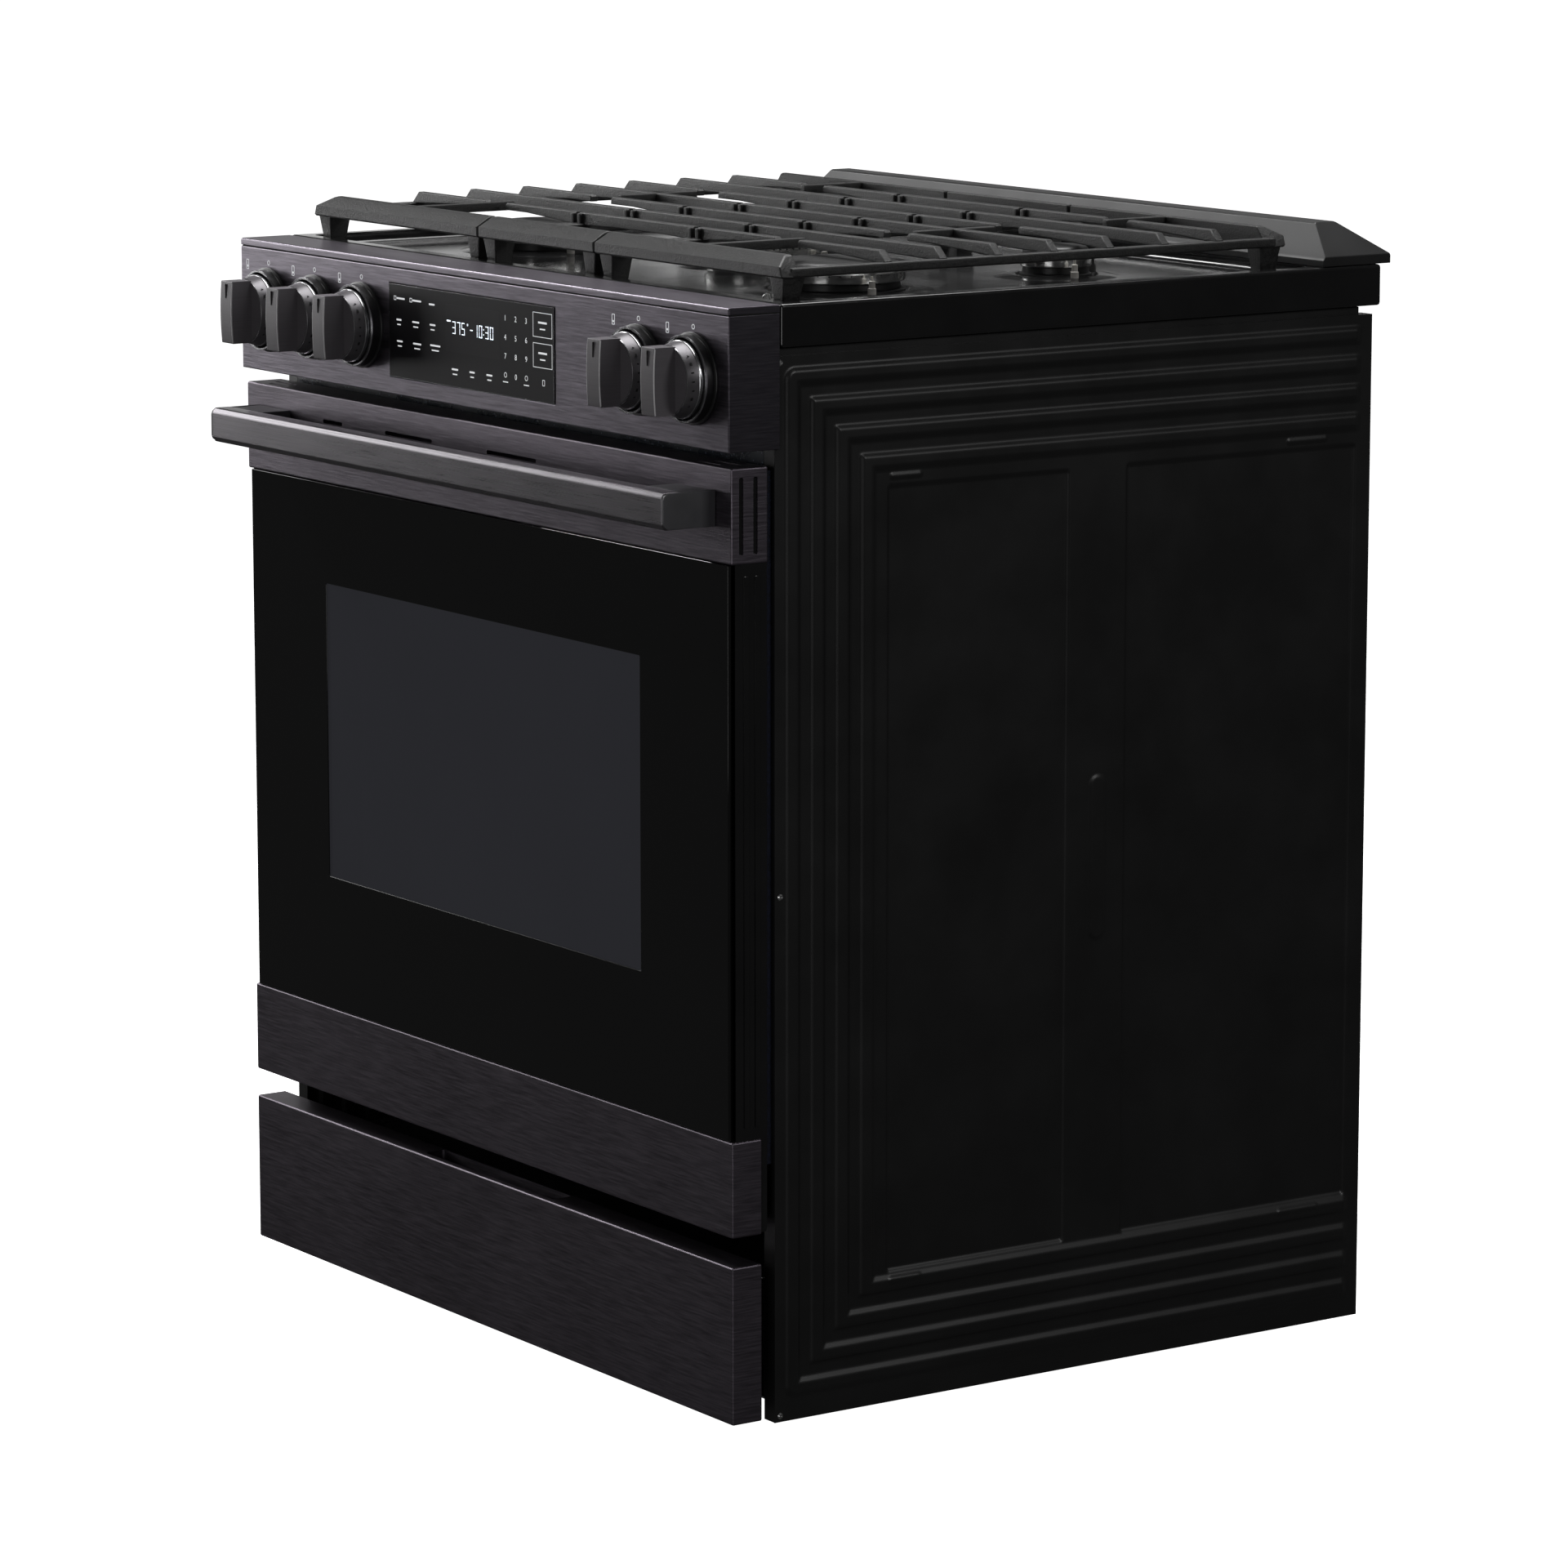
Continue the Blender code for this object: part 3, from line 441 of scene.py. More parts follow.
# ------------------------------------------------------------------ side panels
def side_relief(y, z):
    """How far the pressed side sheet stands out or in at a place, with y and z from its front bottom."""
    def step(value, start, end):
        t = min(1.0, max(0.0, (value - start) / (end - start)))
        return t * t * (3 - 2 * t)

    def inside(u, v, radius):
        """Distance inwards from a corner with a radius, where u and v are distances from its sides."""
        if u < radius and v < radius:
            return radius - math.hypot(radius - u, radius - v)
        return min(u, v)

    height = 0.0
    front, top, bottom = y - 0.0537, 0.8497 - z, z - 0.0188
    depth = inside(front, top, 0.01) if top < bottom else inside(front, bottom, 0.01)
    rib, pitch = 0.0168, 0.0241
    if 0 < depth < 4 * pitch:
        across = depth % pitch
        rise = step(across, 0, 0.0044) * (1 - step(across, 0.0108, rib))
        height += 0.0025 * rise * (1 - step(y, 0.63, 0.637))
    for y0, z0, y1, z1 in ((0.153, 0.108, 0.3345, 0.7505), (0.391, 0.107, 0.633, 0.751)):
        edge = min(inside(y - y0, z1 - z, 0.004), inside(y1 - y, z1 - z, 0.004),
                   inside(y - y0, z - z0, 0.004), inside(y1 - y, z - z0, 0.004))
        height -= 0.002 * step(edge, 0.0, 0.0034)
    reach = 0.0088 - math.hypot(y - 0.3645, z - min(max(z, 0.3675), 0.4887))
    height += 0.0012 * step(reach, 0.0, 0.003)
    for y0, y1, zc in ((0.155, 0.1875, 0.757), (0.558, 0.602, 0.757), (0.155, 0.1875, 0.102),
                       (0.558, 0.602, 0.102)):
        reach = 0.003 - math.hypot(y - min(max(y, y0 + 0.003), y1 - 0.003), z - zc)
        height += 0.001 * step(reach, 0.0, 0.0018)
    return min(height, 0.0028)


def lines(length, zones, coarse):
    """Grid lines from 0 to length: fine inside the zones and coarse between them."""
    found = {0.0, length}
    for start, end, pitch in zones:
        count = max(1, round((end - start) / pitch))
        found |= {start + (end - start) * i / count for i in range(count + 1)}
    found = sorted(v for v in found if 0 <= v <= length)
    filled = []
    for one, two in zip(found, found[1:]):
        count = max(1, math.ceil((two - one) / coarse))
        filled += [one + (two - one) * i / count for i in range(count)]
    return filled + [length]


def side_panels():
    y0, z0 = low("side_panel_right").y, low("side_panel_right").z
    depth, tall = high("side_panel_right").y - y0, high("side_panel_right").z - z0
    face_x, flange = high("side_panel_right").x, low("side_panel_right").x
    ahead = 0.045                                       # the relief's y counts from further forward
    ys = lines(depth, [(0.006, 0.102, 0.0012), (0.106, 0.1145, 0.0009), (0.284, 0.2925, 0.0009),
                       (0.3085, 0.3305, 0.0011), (0.344, 0.3525, 0.0009), (0.512, 0.518, 0.001),
                       (0.554, 0.558, 0.001), (0.582, 0.5935, 0.0009), (0.138, 0.144, 0.0011)], 0.03)
    zs = lines(tall, [(0.017, 0.116, 0.0013), (0.745, 0.852, 0.0013), (0.356, 0.37, 0.0012),
                      (0.486, 0.499, 0.0012)], 0.03)
    points, faces = [], []
    wall = 0.0012
    for offset in (0.0, -wall):
        for y in ys:
            for z in zs:
                points.append((face_x + offset + side_relief(y + ahead, z), y0 + y, z0 + z))
    rows, columns = len(ys), len(zs)
    for sheet in range(2):
        base = sheet * rows * columns
        for i in range(rows - 1):
            for j in range(columns - 1):
                a = base + i * columns + j
                quad = [a, a + columns, a + columns + 1, a + 1]
                faces.append(quad if sheet == 0 else quad[::-1])
    rim = [i * columns for i in range(rows)] + [(rows - 1) * columns + j for j in range(1, columns)]
    rim += [i * columns + columns - 1 for i in range(rows - 2, -1, -1)] + list(range(columns - 2, 0, -1))
    half = rows * columns
    faces += [[a, a + half, b + half, b] for a, b in zip(rim, rim[1:] + rim[:1])]
    mesh = bpy.data.meshes.new("side")
    mesh.from_pydata(points, [], faces)
    tag(mesh, 0)
    inner = face_x - wall
    flanges = [block((flange, y0, z0), (inner + 0.0004, y0 + wall, z0 + tall), 0.0004),
               block((flange, y0 + depth - wall, z0), (inner + 0.0004, y0 + depth, z0 + tall), 0.0004),
               block((flange, y0 + wall, z0 + tall - wall), (inner, y0 + depth - wall, z0 + tall), 0.0003),
               block((flange, y0 + wall, z0), (inner, y0 + depth - wall, z0 + wall), 0.0003)]
    left = [mirrored(m) for m in (mesh, *flanges)]
    piece("side_sheet_right", [mesh, *flanges], [SHEET], "cabinet", ["side_panel_right"], 50)
    piece("side_sheet_left", left, [SHEET], "cabinet", ["side_panel_left"], 50)

    under = low("cooktop").z - 0.0003
    rails = [block((flange + 0.0005, y0 + 0.006, z0 + tall - 0.01),
                   (face_x - 0.003, y0 + depth - 0.012, under), 0.0006)]
    rails.append(mirrored(rails[0]))
    rear = low("back_panel")
    rails.append(block((rear.x + 0.02, rear.y - 0.014, high("back_panel").z - 0.012),
                       (-rear.x - 0.02, rear.y - 0.002, under), 0.0006))
    piece("body_top_rails", rails, [SHEET], "cabinet")

    heads = []
    profile = [(0, 0.0014), (0.0016, 0.0013), (0.0026, 0.0004), (0.0026, 0.0), (0, 0.0)]
    for z in (0.853, 0.429, 0.005):                     # three cross-headed screws in the front edge
        place = Vector((face_x - 0.0002, y0 + 0.0055, z0 + z))
        head = turned(profile, place, "X", 20)
        cross = [block(place + Vector((0.0008, -u, -v)), place + Vector((0.002, u, v)), 0)
                 for u, v in ((0.0003, 0.0015), (0.0015, 0.0003))]
        heads.append(cut(head, *cross))
    other = [mirrored(m) for m in heads]
    piece("side_screws", heads + other, [BRIGHT], "cabinet")


# ------------------------------------------------------------------ control panel
KNOBS = [(i, middle(f"knob_{i}").x) for i in range(1, 6)]
KNOB_Z = middle("knob_1").z
FACE_Y = -0.306         # front of the control panel, behind the marks and the knobs


def control_panel():
    a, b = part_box("control_panel")
    skin, groove0, groove1 = 0.0016, b.z - 0.0069, b.z - 0.0058
    p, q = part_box("display_glass")
    room = 0.0003
    holes = [ring(x, KNOB_Z, 0.0045, 20) for _, x in KNOBS]
    holes.append(rect(p.x - room, p.z - room, q.x + room, q.z + room))
    face = plate([rect(a.x, a.z, b.x, groove0)] + holes, "Y", FACE_Y, FACE_Y + 0.0022, 0.0009)
    lip = [(FACE_Y + 0.0022, groove1), (FACE_Y + 0.0004, groove1), (FACE_Y, groove1 + 0.0004)]
    lip += [(FACE_Y + 0.002 - 0.002 * math.cos(t), b.z - 0.002 + 0.002 * math.sin(t))
            for t in (0, 0.4, 0.8, 1.2, math.pi / 2)]
    lip += [(b.y, b.z), (b.y, b.z - skin), (FACE_Y + 0.0022, b.z - skin)]
    top = plate([lip], "X", a.x, b.x, 0.0003, steps=1)
    # A near-black block behind the groove under the lip: painted shade inside the groove.
    groove_shade = block((a.x + 0.001, FACE_Y + 0.0012, groove0 - 0.002),
                    (b.x - 0.001, FACE_Y + 0.003, groove1 + 0.002), 0, index=1)
    ends = []
    for x0, x1 in ((a.x, a.x + skin), (b.x - skin, b.x)):
        # the end's sheet below and above the groove takes the darker copy of the steel: painted shade
        ends.append(block((x0, FACE_Y + 0.001, a.z), (x1, b.y, groove0), 0.0005, index=2))
        # a near-black block behind the groove at each end: painted shade
        ends.append(block((x0 + 0.0003, FACE_Y + 0.002, groove0 - 0.001),
                          (x1 - 0.0003, b.y, groove1 + 0.003), 0, index=1))
        ends.append(block((x0, FACE_Y + 0.0022, groove1), (x1, b.y, b.z - skin / 2), 0.0003, index=2))
    floor = block((a.x + 0.001, FACE_Y + 0.001, a.z), (b.x - 0.001, -0.2615, a.z + skin), 0.0004)
    piece("control_panel_shell", [face, top, groove_shade, *ends, floor], [PANEL_STEEL_PAINTED_LIGHT, DARK_PRINT_AND_SHADE, END_STEEL_PAINTED_SHADE], "cabinet",
          ["control_panel"])

    collars = []
    for _, x in KNOBS:
        centre = (x, FACE_Y, KNOB_Z)
        collars.append(turned([(0.0365, 0.0004), (0.0365, -0.0022), (0.0361, -0.0026), (0.0347, -0.003),
                               (0.0345, -0.0035), (0.0345, -0.01), (0.0325, -0.01), (0.0325, 0.0004)],
                              centre, "Y", 56))
        collars.append(turned([(0.0346, -0.0098), (0.0347, -0.0104), (0.0343, -0.011), (0.033, -0.011),
                               (0.0325, -0.0104), (0.0325, -0.0098)], centre, "Y", 56, index=1))
    piece("knob_collars", collars, [COLLAR, CHROME], "cabinet")

    # printed marks above each knob: a burner sign and a ring
    marks = []
    y0, y1 = FACE_Y - 0.00012, FACE_Y + 0.0002
    for _, x in KNOBS:
        u, v = x - 0.0365, KNOB_Z + 0.037
        sign = hollow(u - 0.0021, v - 0.0043, u + 0.0021, v + 0.0043, 0.0005, (0.0008, 3), (0.0005, 3))
        for outlines in (sign, [ring(u, v - 0.0016, 0.001, 14)], hoop(x, KNOB_Z + 0.0405, 0.0021, 0.0005, 20)):
            marks.append(plate(outlines, "Y", y0, y1))
    piece("panel_marks", marks, [PRINT_PAINTED_GLOW], "cabinet")


SEGMENTS = {"0": "abcdef", "1": "bc", "3": "abgcd", "5": "afgcd", "7": "abc"}


def seven_segments(text, x, z, wide, tall, y0, y1):
    """Digits of a clock, from the left at x, with their middle at height z."""
    bars, t = [], wide * 0.2
    for character in text:
        if character == ":":
            for dz in (-tall * 0.2, tall * 0.2):
                bars.append(plate([rect(x - t / 2, z + dz - t / 2, x + t / 2, z + dz + t / 2)], "Y", y0, y1))
            x += wide * 0.55
            continue
        half, h = wide / 2, tall / 2
        u = x + half
        spans = {"a": (u - half, z + h - t, u + half, z + h), "d": (u - half, z - h, u + half, z - h + t),
                 "g": (u - half, z - t / 2, u + half, z + t / 2), "f": (u - half, z, u - half + t, z + h),
                 "b": (u + half - t, z, u + half, z + h), "e": (u - half, z - h, u - half + t, z),
                 "c": (u + half - t, z - h, u + half, z)}
        gap = t * 0.18
        for name in SEGMENTS[character]:
            u0, v0, u1, v1 = spans[name]
            bars.append(plate([rect(u0 + gap, v0 + gap, u1 - gap, v1 - gap)], "Y", y0, y1))
        x += wide * 1.45
    return bars


def display():
    a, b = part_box("display_glass")
    face, y1 = a.y, a.y + 0.0001
    y0 = face - 0.00008
    base = 0.016                                        # heights of the marks count from the cabinet's foot

    def mark(*outlines):
        return plate([[(u, v + base) for u, v in line] for line in outlines], "Y", y0, y1)

    pane = plate([rect(a.x, a.z, b.x, b.z, 0.0012, 3)], "Y", a.y, b.y, 0.0004)
    piece("display_pane", [pane], [TOUCH_GLASS], "cabinet", ["display_glass"])
    edge = plate(hollow(a.x, a.z, b.x, b.z, 0.0004, (0.0012, 3), (0.0008, 3)), "Y", face - 0.0001, y1)
    piece("display_edge", [edge], [CHROME], "cabinet")
    shade = plate([rect(-0.0385, 0.8457, 0.0465, 0.885, 0.001, 2)], "Y", face - 0.00004, y1)
    piece("display_window", [shade], [DISPLAY_GREY], "cabinet")

    marks = []
    right = b.x - 0.0025
    mid = (0.0975 + right) / 2
    for v0, v1 in ((0.8532, 0.8734), (0.8284, 0.8485)):  # two boxed keys with two lines in each
        marks.append(mark(*hollow(0.0975, v0, right, v1, 0.0005)))
        marks.append(mark(rect(mid - 0.0065, v0 + 0.0112, mid + 0.0065, v0 + 0.0128)))
        marks.append(mark(rect(mid - 0.004, v0 + 0.0062, mid + 0.004, v0 + 0.0073)))
    for row, v in zip(("123", "456", "789", " 0 "), (0.8645, 0.8487, 0.8333, 0.8172)):
        for digit, u in zip(row, (0.055, 0.071, 0.087)):
            if digit != " ":
                marks.append(words(digit, 0.0066, (u, y0 + 0.00006, v + base)))
    for u in (0.055, 0.087):
        marks.append(mark(*hoop(u, 0.818, 0.0022, 0.0005, 16)))
        marks.append(mark(rect(u - 0.004, 0.8118, u + 0.004, 0.8127)))
    marks.append(mark(*hollow(0.1115, 0.814, 0.115, 0.819, 0.0005, (0.0006, 2))))
    for u, v, w in ((-0.11, 0.866, 0.013), (-0.084, 0.866, 0.014), (-0.06, 0.865, 0.009),
                    (-0.113, 0.848, 0.008), (-0.086, 0.848, 0.011), (-0.059, 0.848, 0.009),
                    (-0.112, 0.83, 0.009), (-0.084, 0.83, 0.013), (-0.055, 0.831, 0.016),
                    (-0.024, 0.814, 0.01), (0.003, 0.814, 0.008), (0.03, 0.814, 0.009)):
        marks.append(mark(rect(u - w / 2, v + 0.0006, u + w / 2, v + 0.0021, 0.0005, 2)))
        if v < 0.86:
            marks.append(mark(rect(u - w * 0.36, v - 0.0032, u + w * 0.36, v - 0.0021, 0.0004, 2)))
    for u in (-0.119, -0.0935):
        marks.append(mark(*hollow(u - 0.0018, 0.8655, u + 0.0018, 0.8691, 0.0005)))
    piece("display_marks", marks, [PRINT_PAINTED_GLOW], "cabinet")

    lit = seven_segments("375", -0.0275, 0.866, 0.005, 0.0105, y0, y1)
    lit += seven_segments("10:30", 0.007, 0.866, 0.005, 0.0105, y0, y1)
    lit += [mark(*hoop(-0.0035, 0.854, 0.001, 0.0004, 12)), mark(rect(0.0005, 0.8496, 0.0045, 0.8504)),
            mark(rect(-0.0362, 0.8545, -0.0302, 0.8557))]
    piece("display_digits", lit, [DIGITS], "cabinet")


def knob_grip(x, front):
    """The blade of a knob, with a crowned front, thin pale strips along its edges as painted highlights and a
    panel in each side.
    """
    half, tall, crown = 0.0095, 0.028, 0.0012
    outline = []
    for k in range(17):
        t = -1 + 2 * k / 16
        outline.append((half - 0.0002 * (1 - t * t), t * (tall - 0.0012)))
    left = [(-u, v) for u, v in reversed(outline)]
    grip = plate([[(x + u, KNOB_Z + v) for u, v in outline + left]], "Y", front + 0.0002, FACE_Y - 0.0226,
                 0.0007, steps=3)
    for vertex in grip.vertices:
        if vertex.co.y < front + 0.004:
            t = (vertex.co.z - KNOB_Z) / tall
            vertex.co.y += crown * t * t
    meshes = [grip]
    for side in (-1, 1):
        # a pale strip down each front edge: painted highlight
        highlight_x, highlight_y, highlight_z = x + side * (half - 0.00045), front + 0.00065, tall - 0.002
        meshes.append(tube([(highlight_x, highlight_y + crown * t * t, KNOB_Z + t * highlight_z)
                            for t in (-1.0, -0.7, -0.35, 0.0, 0.35, 0.7, 1.0)], 0.0006, index=4))
        x0, x1 = span(side, half - 0.0006, half - 0.00005, x)
        # short pale strips at the top and bottom of each side edge: painted highlights
        for end in (-1, 1):
            z0, z1 = span(end, tall - 0.0018, tall - 0.0012, KNOB_Z)
            meshes.append(block((x0, front + 0.0016, z0), (x1, FACE_Y - 0.0242, z1), 0.0002, 1, index=4))
        x0, x1 = span(side, half - 0.0011, half - 0.0003, x)
        meshes.append(block((x0, front + 0.0055, KNOB_Z - 0.019), (x1, front + 0.01, KNOB_Z + 0.019), 0.0004))
    return meshes


def knobs():
    front = low("knob_1").y
    for name, x in KNOBS:
        def spun(profile, steps=72, index=1):
            return turned(profile, (x, FACE_Y, KNOB_Z), "Y", steps, index)

        meshes = [
            spun([(0.0034, -0.0232), (0.0268, -0.0232), (0.0268, -0.009), (0.0034, -0.009)], 56, 0),
            spun([(0.0262, -0.0236), (0.0272, -0.0238), (0.0277, -0.0232), (0.0303, -0.0136), (0.0303, -0.009),
                  (0.0262, -0.009)], index=2),
            spun([(0.0266, -0.0236), (0.0269, -0.024), (0.0274, -0.024), (0.0277, -0.0234), (0.0272, -0.0232)]),
            spun([(0.03, -0.0138), (0.0303, -0.0142), (0.0308, -0.0138), (0.031, -0.013), (0.031, -0.0112),
                  (0.0304, -0.0108), (0.03, -0.0112)])]
        meshes += knob_grip(x, front)
        meshes.append(block((x - 0.0004, front - 0.00002, KNOB_Z + 0.0125),      # pointer
                            (x + 0.0004, front + 0.0012, KNOB_Z + 0.0245), 0.0001, index=3))
        for k, degrees in enumerate(range(-40, 45, 14)):  # short dark marks along the right of the skirt
            a = math.radians(degrees)
            size = 0.0026 if k in (1, 5) else 0.0011
            mark = block((-0.0001, -0.0016, -size / 2), (0.00014, 0.0016, size / 2), 0, index=3)
            place = (x + 0.0291 * math.cos(a), FACE_Y - 0.0183, KNOB_Z + 0.0291 * math.sin(a))
            mark.transform(Matrix.Translation(place) @ Matrix.Rotation(-a, 4, "Y")
                           @ Matrix.Rotation(math.radians(15), 4, "Z"))
            meshes.append(mark)
        piece(f"knob_{name}_cap", meshes, [KNOB_STEEL, CHROME, KNOB_DARK, DARK_PRINT_AND_SHADE, KNOB_EDGE_HIGHLIGHT],
              f"knob_body_{name}", [f"knob_{name}"], 28)


# ------------------------------------------------------------------ door
def folded_sheet(name, node, cutters, body):
    made = cut(block(*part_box(node), 0.0016, 3), *cutters)
    piece(name, [made], [STEEL, DARK_PRINT_AND_SHADE], body, [node])


def hinge_slots():
    """Cutters where the two hinge arms pass into the door."""
    return [block((x - 0.0065, -0.2915, 0.165), (x + 0.0065, -0.26, 0.1965), 0) for x in (-0.339, 0.339)]


def door():
    a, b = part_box("door_top_band")
    cutters = []
    for side in (-1, 1):
        x0, x1 = span(side, b.x - 0.01, b.x + 0.002)
        for y in (a.y + 0.007, a.y + 0.0205):          # two upright slots in each end
            cutters.append(block((x0, y, a.z + 0.0075), (x1, y + 0.004, b.z - 0.0075), 0.0015, 3))
        for y, start, end in ((a.y + 0.0055, 0.322, 0.352), (a.y + 0.0175, 0.327, 0.362)):
            x0, x1 = span(side, start, end)
            cutters.append(block((x0, y, b.z - 0.006), (x1, y + 0.0035, b.z + 0.004), 0.0015, 3))
    for x, half in ((-0.232, 0.016), (-0.107, 0.038), (0.056, 0.038)):     # vents behind the handle
        cutters.append(block((x - half, a.y - 0.003, 0.765), (x + half, a.y + 0.012, 0.7684), 0.0014, 3))
    folded_sheet("door_band_upper", "door_top_band", cutters, "door")
    folded_sheet("door_band_lower", "door_bottom_band", hinge_slots(), "door")

    g0, g1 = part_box("door_glass")
    u0, v0, u1, v1 = -0.247, 0.369, 0.247, 0.626
    glass = plate([rect(g0.x, g0.z, g1.x, g1.z, 0.0008, 2), rect(u0, v0, u1, v1, 0.001, 2)], "Y", g0.y, g1.y,
                  0.0006)
    piece("door_outer_glass", [glass], [GLASS], "door", ["door_glass"])
    lap = 0.003
    pane = plate([rect(u0 - lap, v0 - lap, u1 + lap, v1 + lap)], "Y", g0.y + 0.0006, g1.y - 0.0004)
    piece("door_window", [pane], [WINDOW_PAINTED_GLOW], "door")

    # pressed inner door sheet, with its window frame, side ribs and slots for the hinge arms
    l0, l1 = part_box("door_liner")
    rear, skin, edge = l1.y, 0.0014, 0.018
    u0, v0, u1, v1 = -0.225, 0.365, 0.225, 0.625
    opening = rect(u0, v0, u1, v1, 0.012, 5)
    sheet = plate([rect(l0.x, l0.z, l1.x, l1.z, 0.003, 3), opening], "Y", rear - skin - 0.0004, rear, 0.0006)
    frame_ring = plate([rect(u0 - edge, v0 - edge, u1 + edge, v1 + edge, 0.022), opening], "Y", rear - 0.004,
                       rear - 0.0001, 0.0006)
    floor = block((l0.x + skin, l0.y, l0.z), (l1.x - skin, rear - 0.001, l0.z + skin), 0.0004)
    meshes = [cut(mesh, *hinge_slots()) for mesh in (sheet, floor)]
    meshes += [frame_ring, block((l0.x, l0.y, l0.z), (l0.x + skin, rear - 0.001, l1.z), 0.0004),
               block((l1.x - skin, l0.y, l0.z), (l1.x, rear - 0.001, l1.z), 0.0004),
               block((l0.x + skin, l0.y, l1.z - skin), (l1.x - skin, rear - 0.001, l1.z), 0.0004)]
    for side in (-1, 1):
        x0, x1 = span(side, l1.x - 0.0006, l1.x + 0.0011)
        for y in (-0.2905, -0.28):
            meshes.append(block((x0, y, 0.262), (x1, y + 0.0045, 0.704), 0.0008, 2))
    piece("door_inner_sheet", meshes, [ENAMEL], "door", ["door_liner"])
    i0, i1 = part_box("inner_glass")
    inner = plate([rect(i0.x, i0.z, i1.x, i1.z, 0.004, 3)], "Y", i0.y, i1.y, 0.0006)
    piece("door_inner_glass", [inner], [WINDOW_PAINTED_GLOW], "door", ["inner_glass"])


def handle():
    a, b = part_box("handle_bar")
    bar = plate([rect(a.y, a.z, b.y, b.z, 0.005, 6)], "X", a.x, b.x, 0.0006)
    for vertex in bar.vertices:                         # the front face is slightly crowned
        if vertex.co.y < a.y + 0.002:
            t = (vertex.co.z - (a.z + b.z) / 2) / ((b.z - a.z) / 2)
            vertex.co.y += 0.001 * t * t
    piece("handle_grip", [bar], [HANDLE_STEEL], "door", ["handle_bar"])
    for name, side in (("handle_post_left", -1), ("handle_post_right", 1)):
        p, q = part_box(name)
        outer, inner, bar_end = (p.x, q.x, a.x) if side < 0 else (q.x, p.x, b.x)
        front, corner = a.y + 0.0006, 0.0042
        round_by, flat_by = corner * 0.55, corner + 0.001
        outline = [(front + corner, p.z), (q.y, p.z), (q.y, q.z), (front + corner, q.z),
                   (front + 0.001, q.z - round_by), (front, q.z - flat_by), (front, p.z + flat_by),
                   (front + 0.001, p.z + round_by)]
        cap = plate([outline], "X", bar_end + side * 0.0002, outer, 0.0005)
        x0, x1 = sorted((inner, bar_end + side * 0.001))
        post = block((x0, b.y + 0.0002, p.z + 0.0004), (x1, q.y, q.z - 0.0004), 0.0012, 3)
        piece(f"{name}_end", [cap, post], [POST_STEEL], "door", [name], 40)


def drawer():
    a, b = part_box("drawer_front")
    pocket = block((-0.102, a.y + 0.0065, b.z - 0.03), (0.102, b.y - 0.003, b.z + 0.01), 0.003, 3)
    folded_sheet("drawer_face", "drawer_front", [pocket], "drawer")
    p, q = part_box("drawer_box")
    skin, bead = 0.001, 0.0021
    tray = [block((p.x, p.y, p.z), (q.x, q.y, p.z + skin), 0.0003)]
    for x0, x1 in ((p.x, p.x + skin), (q.x - skin, q.x)):
        tray.append(block((x0, p.y, p.z), (x1, q.y, q.z), 0.0003))
        mid, top = (x0 + x1) / 2, q.z - 0.0022
        tray.append(tube([(mid, p.y + 0.002, top), (mid, q.y - 0.002, top)], bead))
    for y0, y1 in ((p.y, p.y + skin), (q.y - skin, q.y)):
        tray.append(block((p.x, y0, p.z), (q.x, y1, q.z), 0.0003))
    for k in range(5):                                  # ribs pressed into the floor
        y = p.y + 0.09 + k * 0.095
        tray.append(block((p.x + 0.04, y, p.z + skin - 0.0004), (q.x - 0.04, y + 0.01, p.z + skin + 0.0012),
                          0.001, 2))
    piece("drawer_tray", tray, [ZINC], "drawer", ["drawer_box"])


# ------------------------------------------------------------------ cooktop
BURNERS = ("left_front", "left_rear", "centre", "right_front", "right_rear")


def cooktop():
    a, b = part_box("cooktop")
    pan, rim, skin = low("burner_centre").z - 0.0003, 0.014, 0.0014
    pocket = block((a.x + rim, a.y + rim, pan), (b.x - rim, b.y - 0.065, b.z + 0.03), 0.0085, 4)
    below = block((a.x + skin, a.y + skin, a.z - 0.01), (b.x - skin, b.y - skin, pan - skin), 0)
    meshes = [cut(block(a, b, 0.003, 3), pocket, below)]
    for name in BURNERS:                                # a raised ring round each burner
        p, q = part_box(f"burner_{name}")
        r, at = (q.x - p.x) / 2, middle(f"burner_{name}")
        profile = [(r + 0.002, 0.0), (r + 0.004, 0.0016), (r + 0.01, 0.002), (r + 0.018, 0.001),
                   (r + 0.024, 0.0001), (r + 0.024, -0.0008), (r + 0.002, -0.0008)]
        well = turned(profile, (at.x, at.y, pan - 0.0002), "Z", 64)
        meshes.append(stretched(well, at.y, (q.y - p.y) / 2 - r))
    piece("cooktop_pan", meshes, [ENAMEL], "cabinet", ["cooktop"])

    a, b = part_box("rear_trim")
    slope = [(a.y, a.z), (a.y, a.z + 0.005), (a.y + 0.0015, a.z + 0.0075), (a.y + 0.0125, b.z - 0.0012),
             (a.y + 0.014, b.z), (a.y + 0.033, b.z), (a.y + 0.0355, b.z - 0.001),
             (b.y - 0.001, a.z + 0.0085), (b.y, a.z + 0.0065), (b.y, a.z)]
    foot, above, beyond = a.z + 0.007, b.z + 0.02, b.x + 0.02
    wedges = []
    for side in (-1, 1):                                # the ends lean in as they rise
        outline = [(b.x + 0.001, foot), (b.x - 0.028, b.z), (b.x - 0.028, above), (beyond, above),
                   (beyond, foot)]
        wedges.append(plate([[(side * u, v) for u, v in outline]], "Y", a.y - 0.01, b.y + 0.01))
    trim = cut(plate([slope], "X", a.x, b.x), *wedges)
    with editing(trim) as work:
        bmesh.ops.remove_doubles(work, verts=work.verts, dist=1e-5)
        bmesh.ops.dissolve_limit(work, angle_limit=0.02, verts=work.verts, edges=work.edges)
        rounded(work, [e for e in work.edges if len(e.link_faces) == 2 and e.calc_face_angle() > 0.3], 0.0009,
                clamp=True)
    piece("rear_guard", [trim], [TRIM], "cabinet", ["rear_trim"], 25)


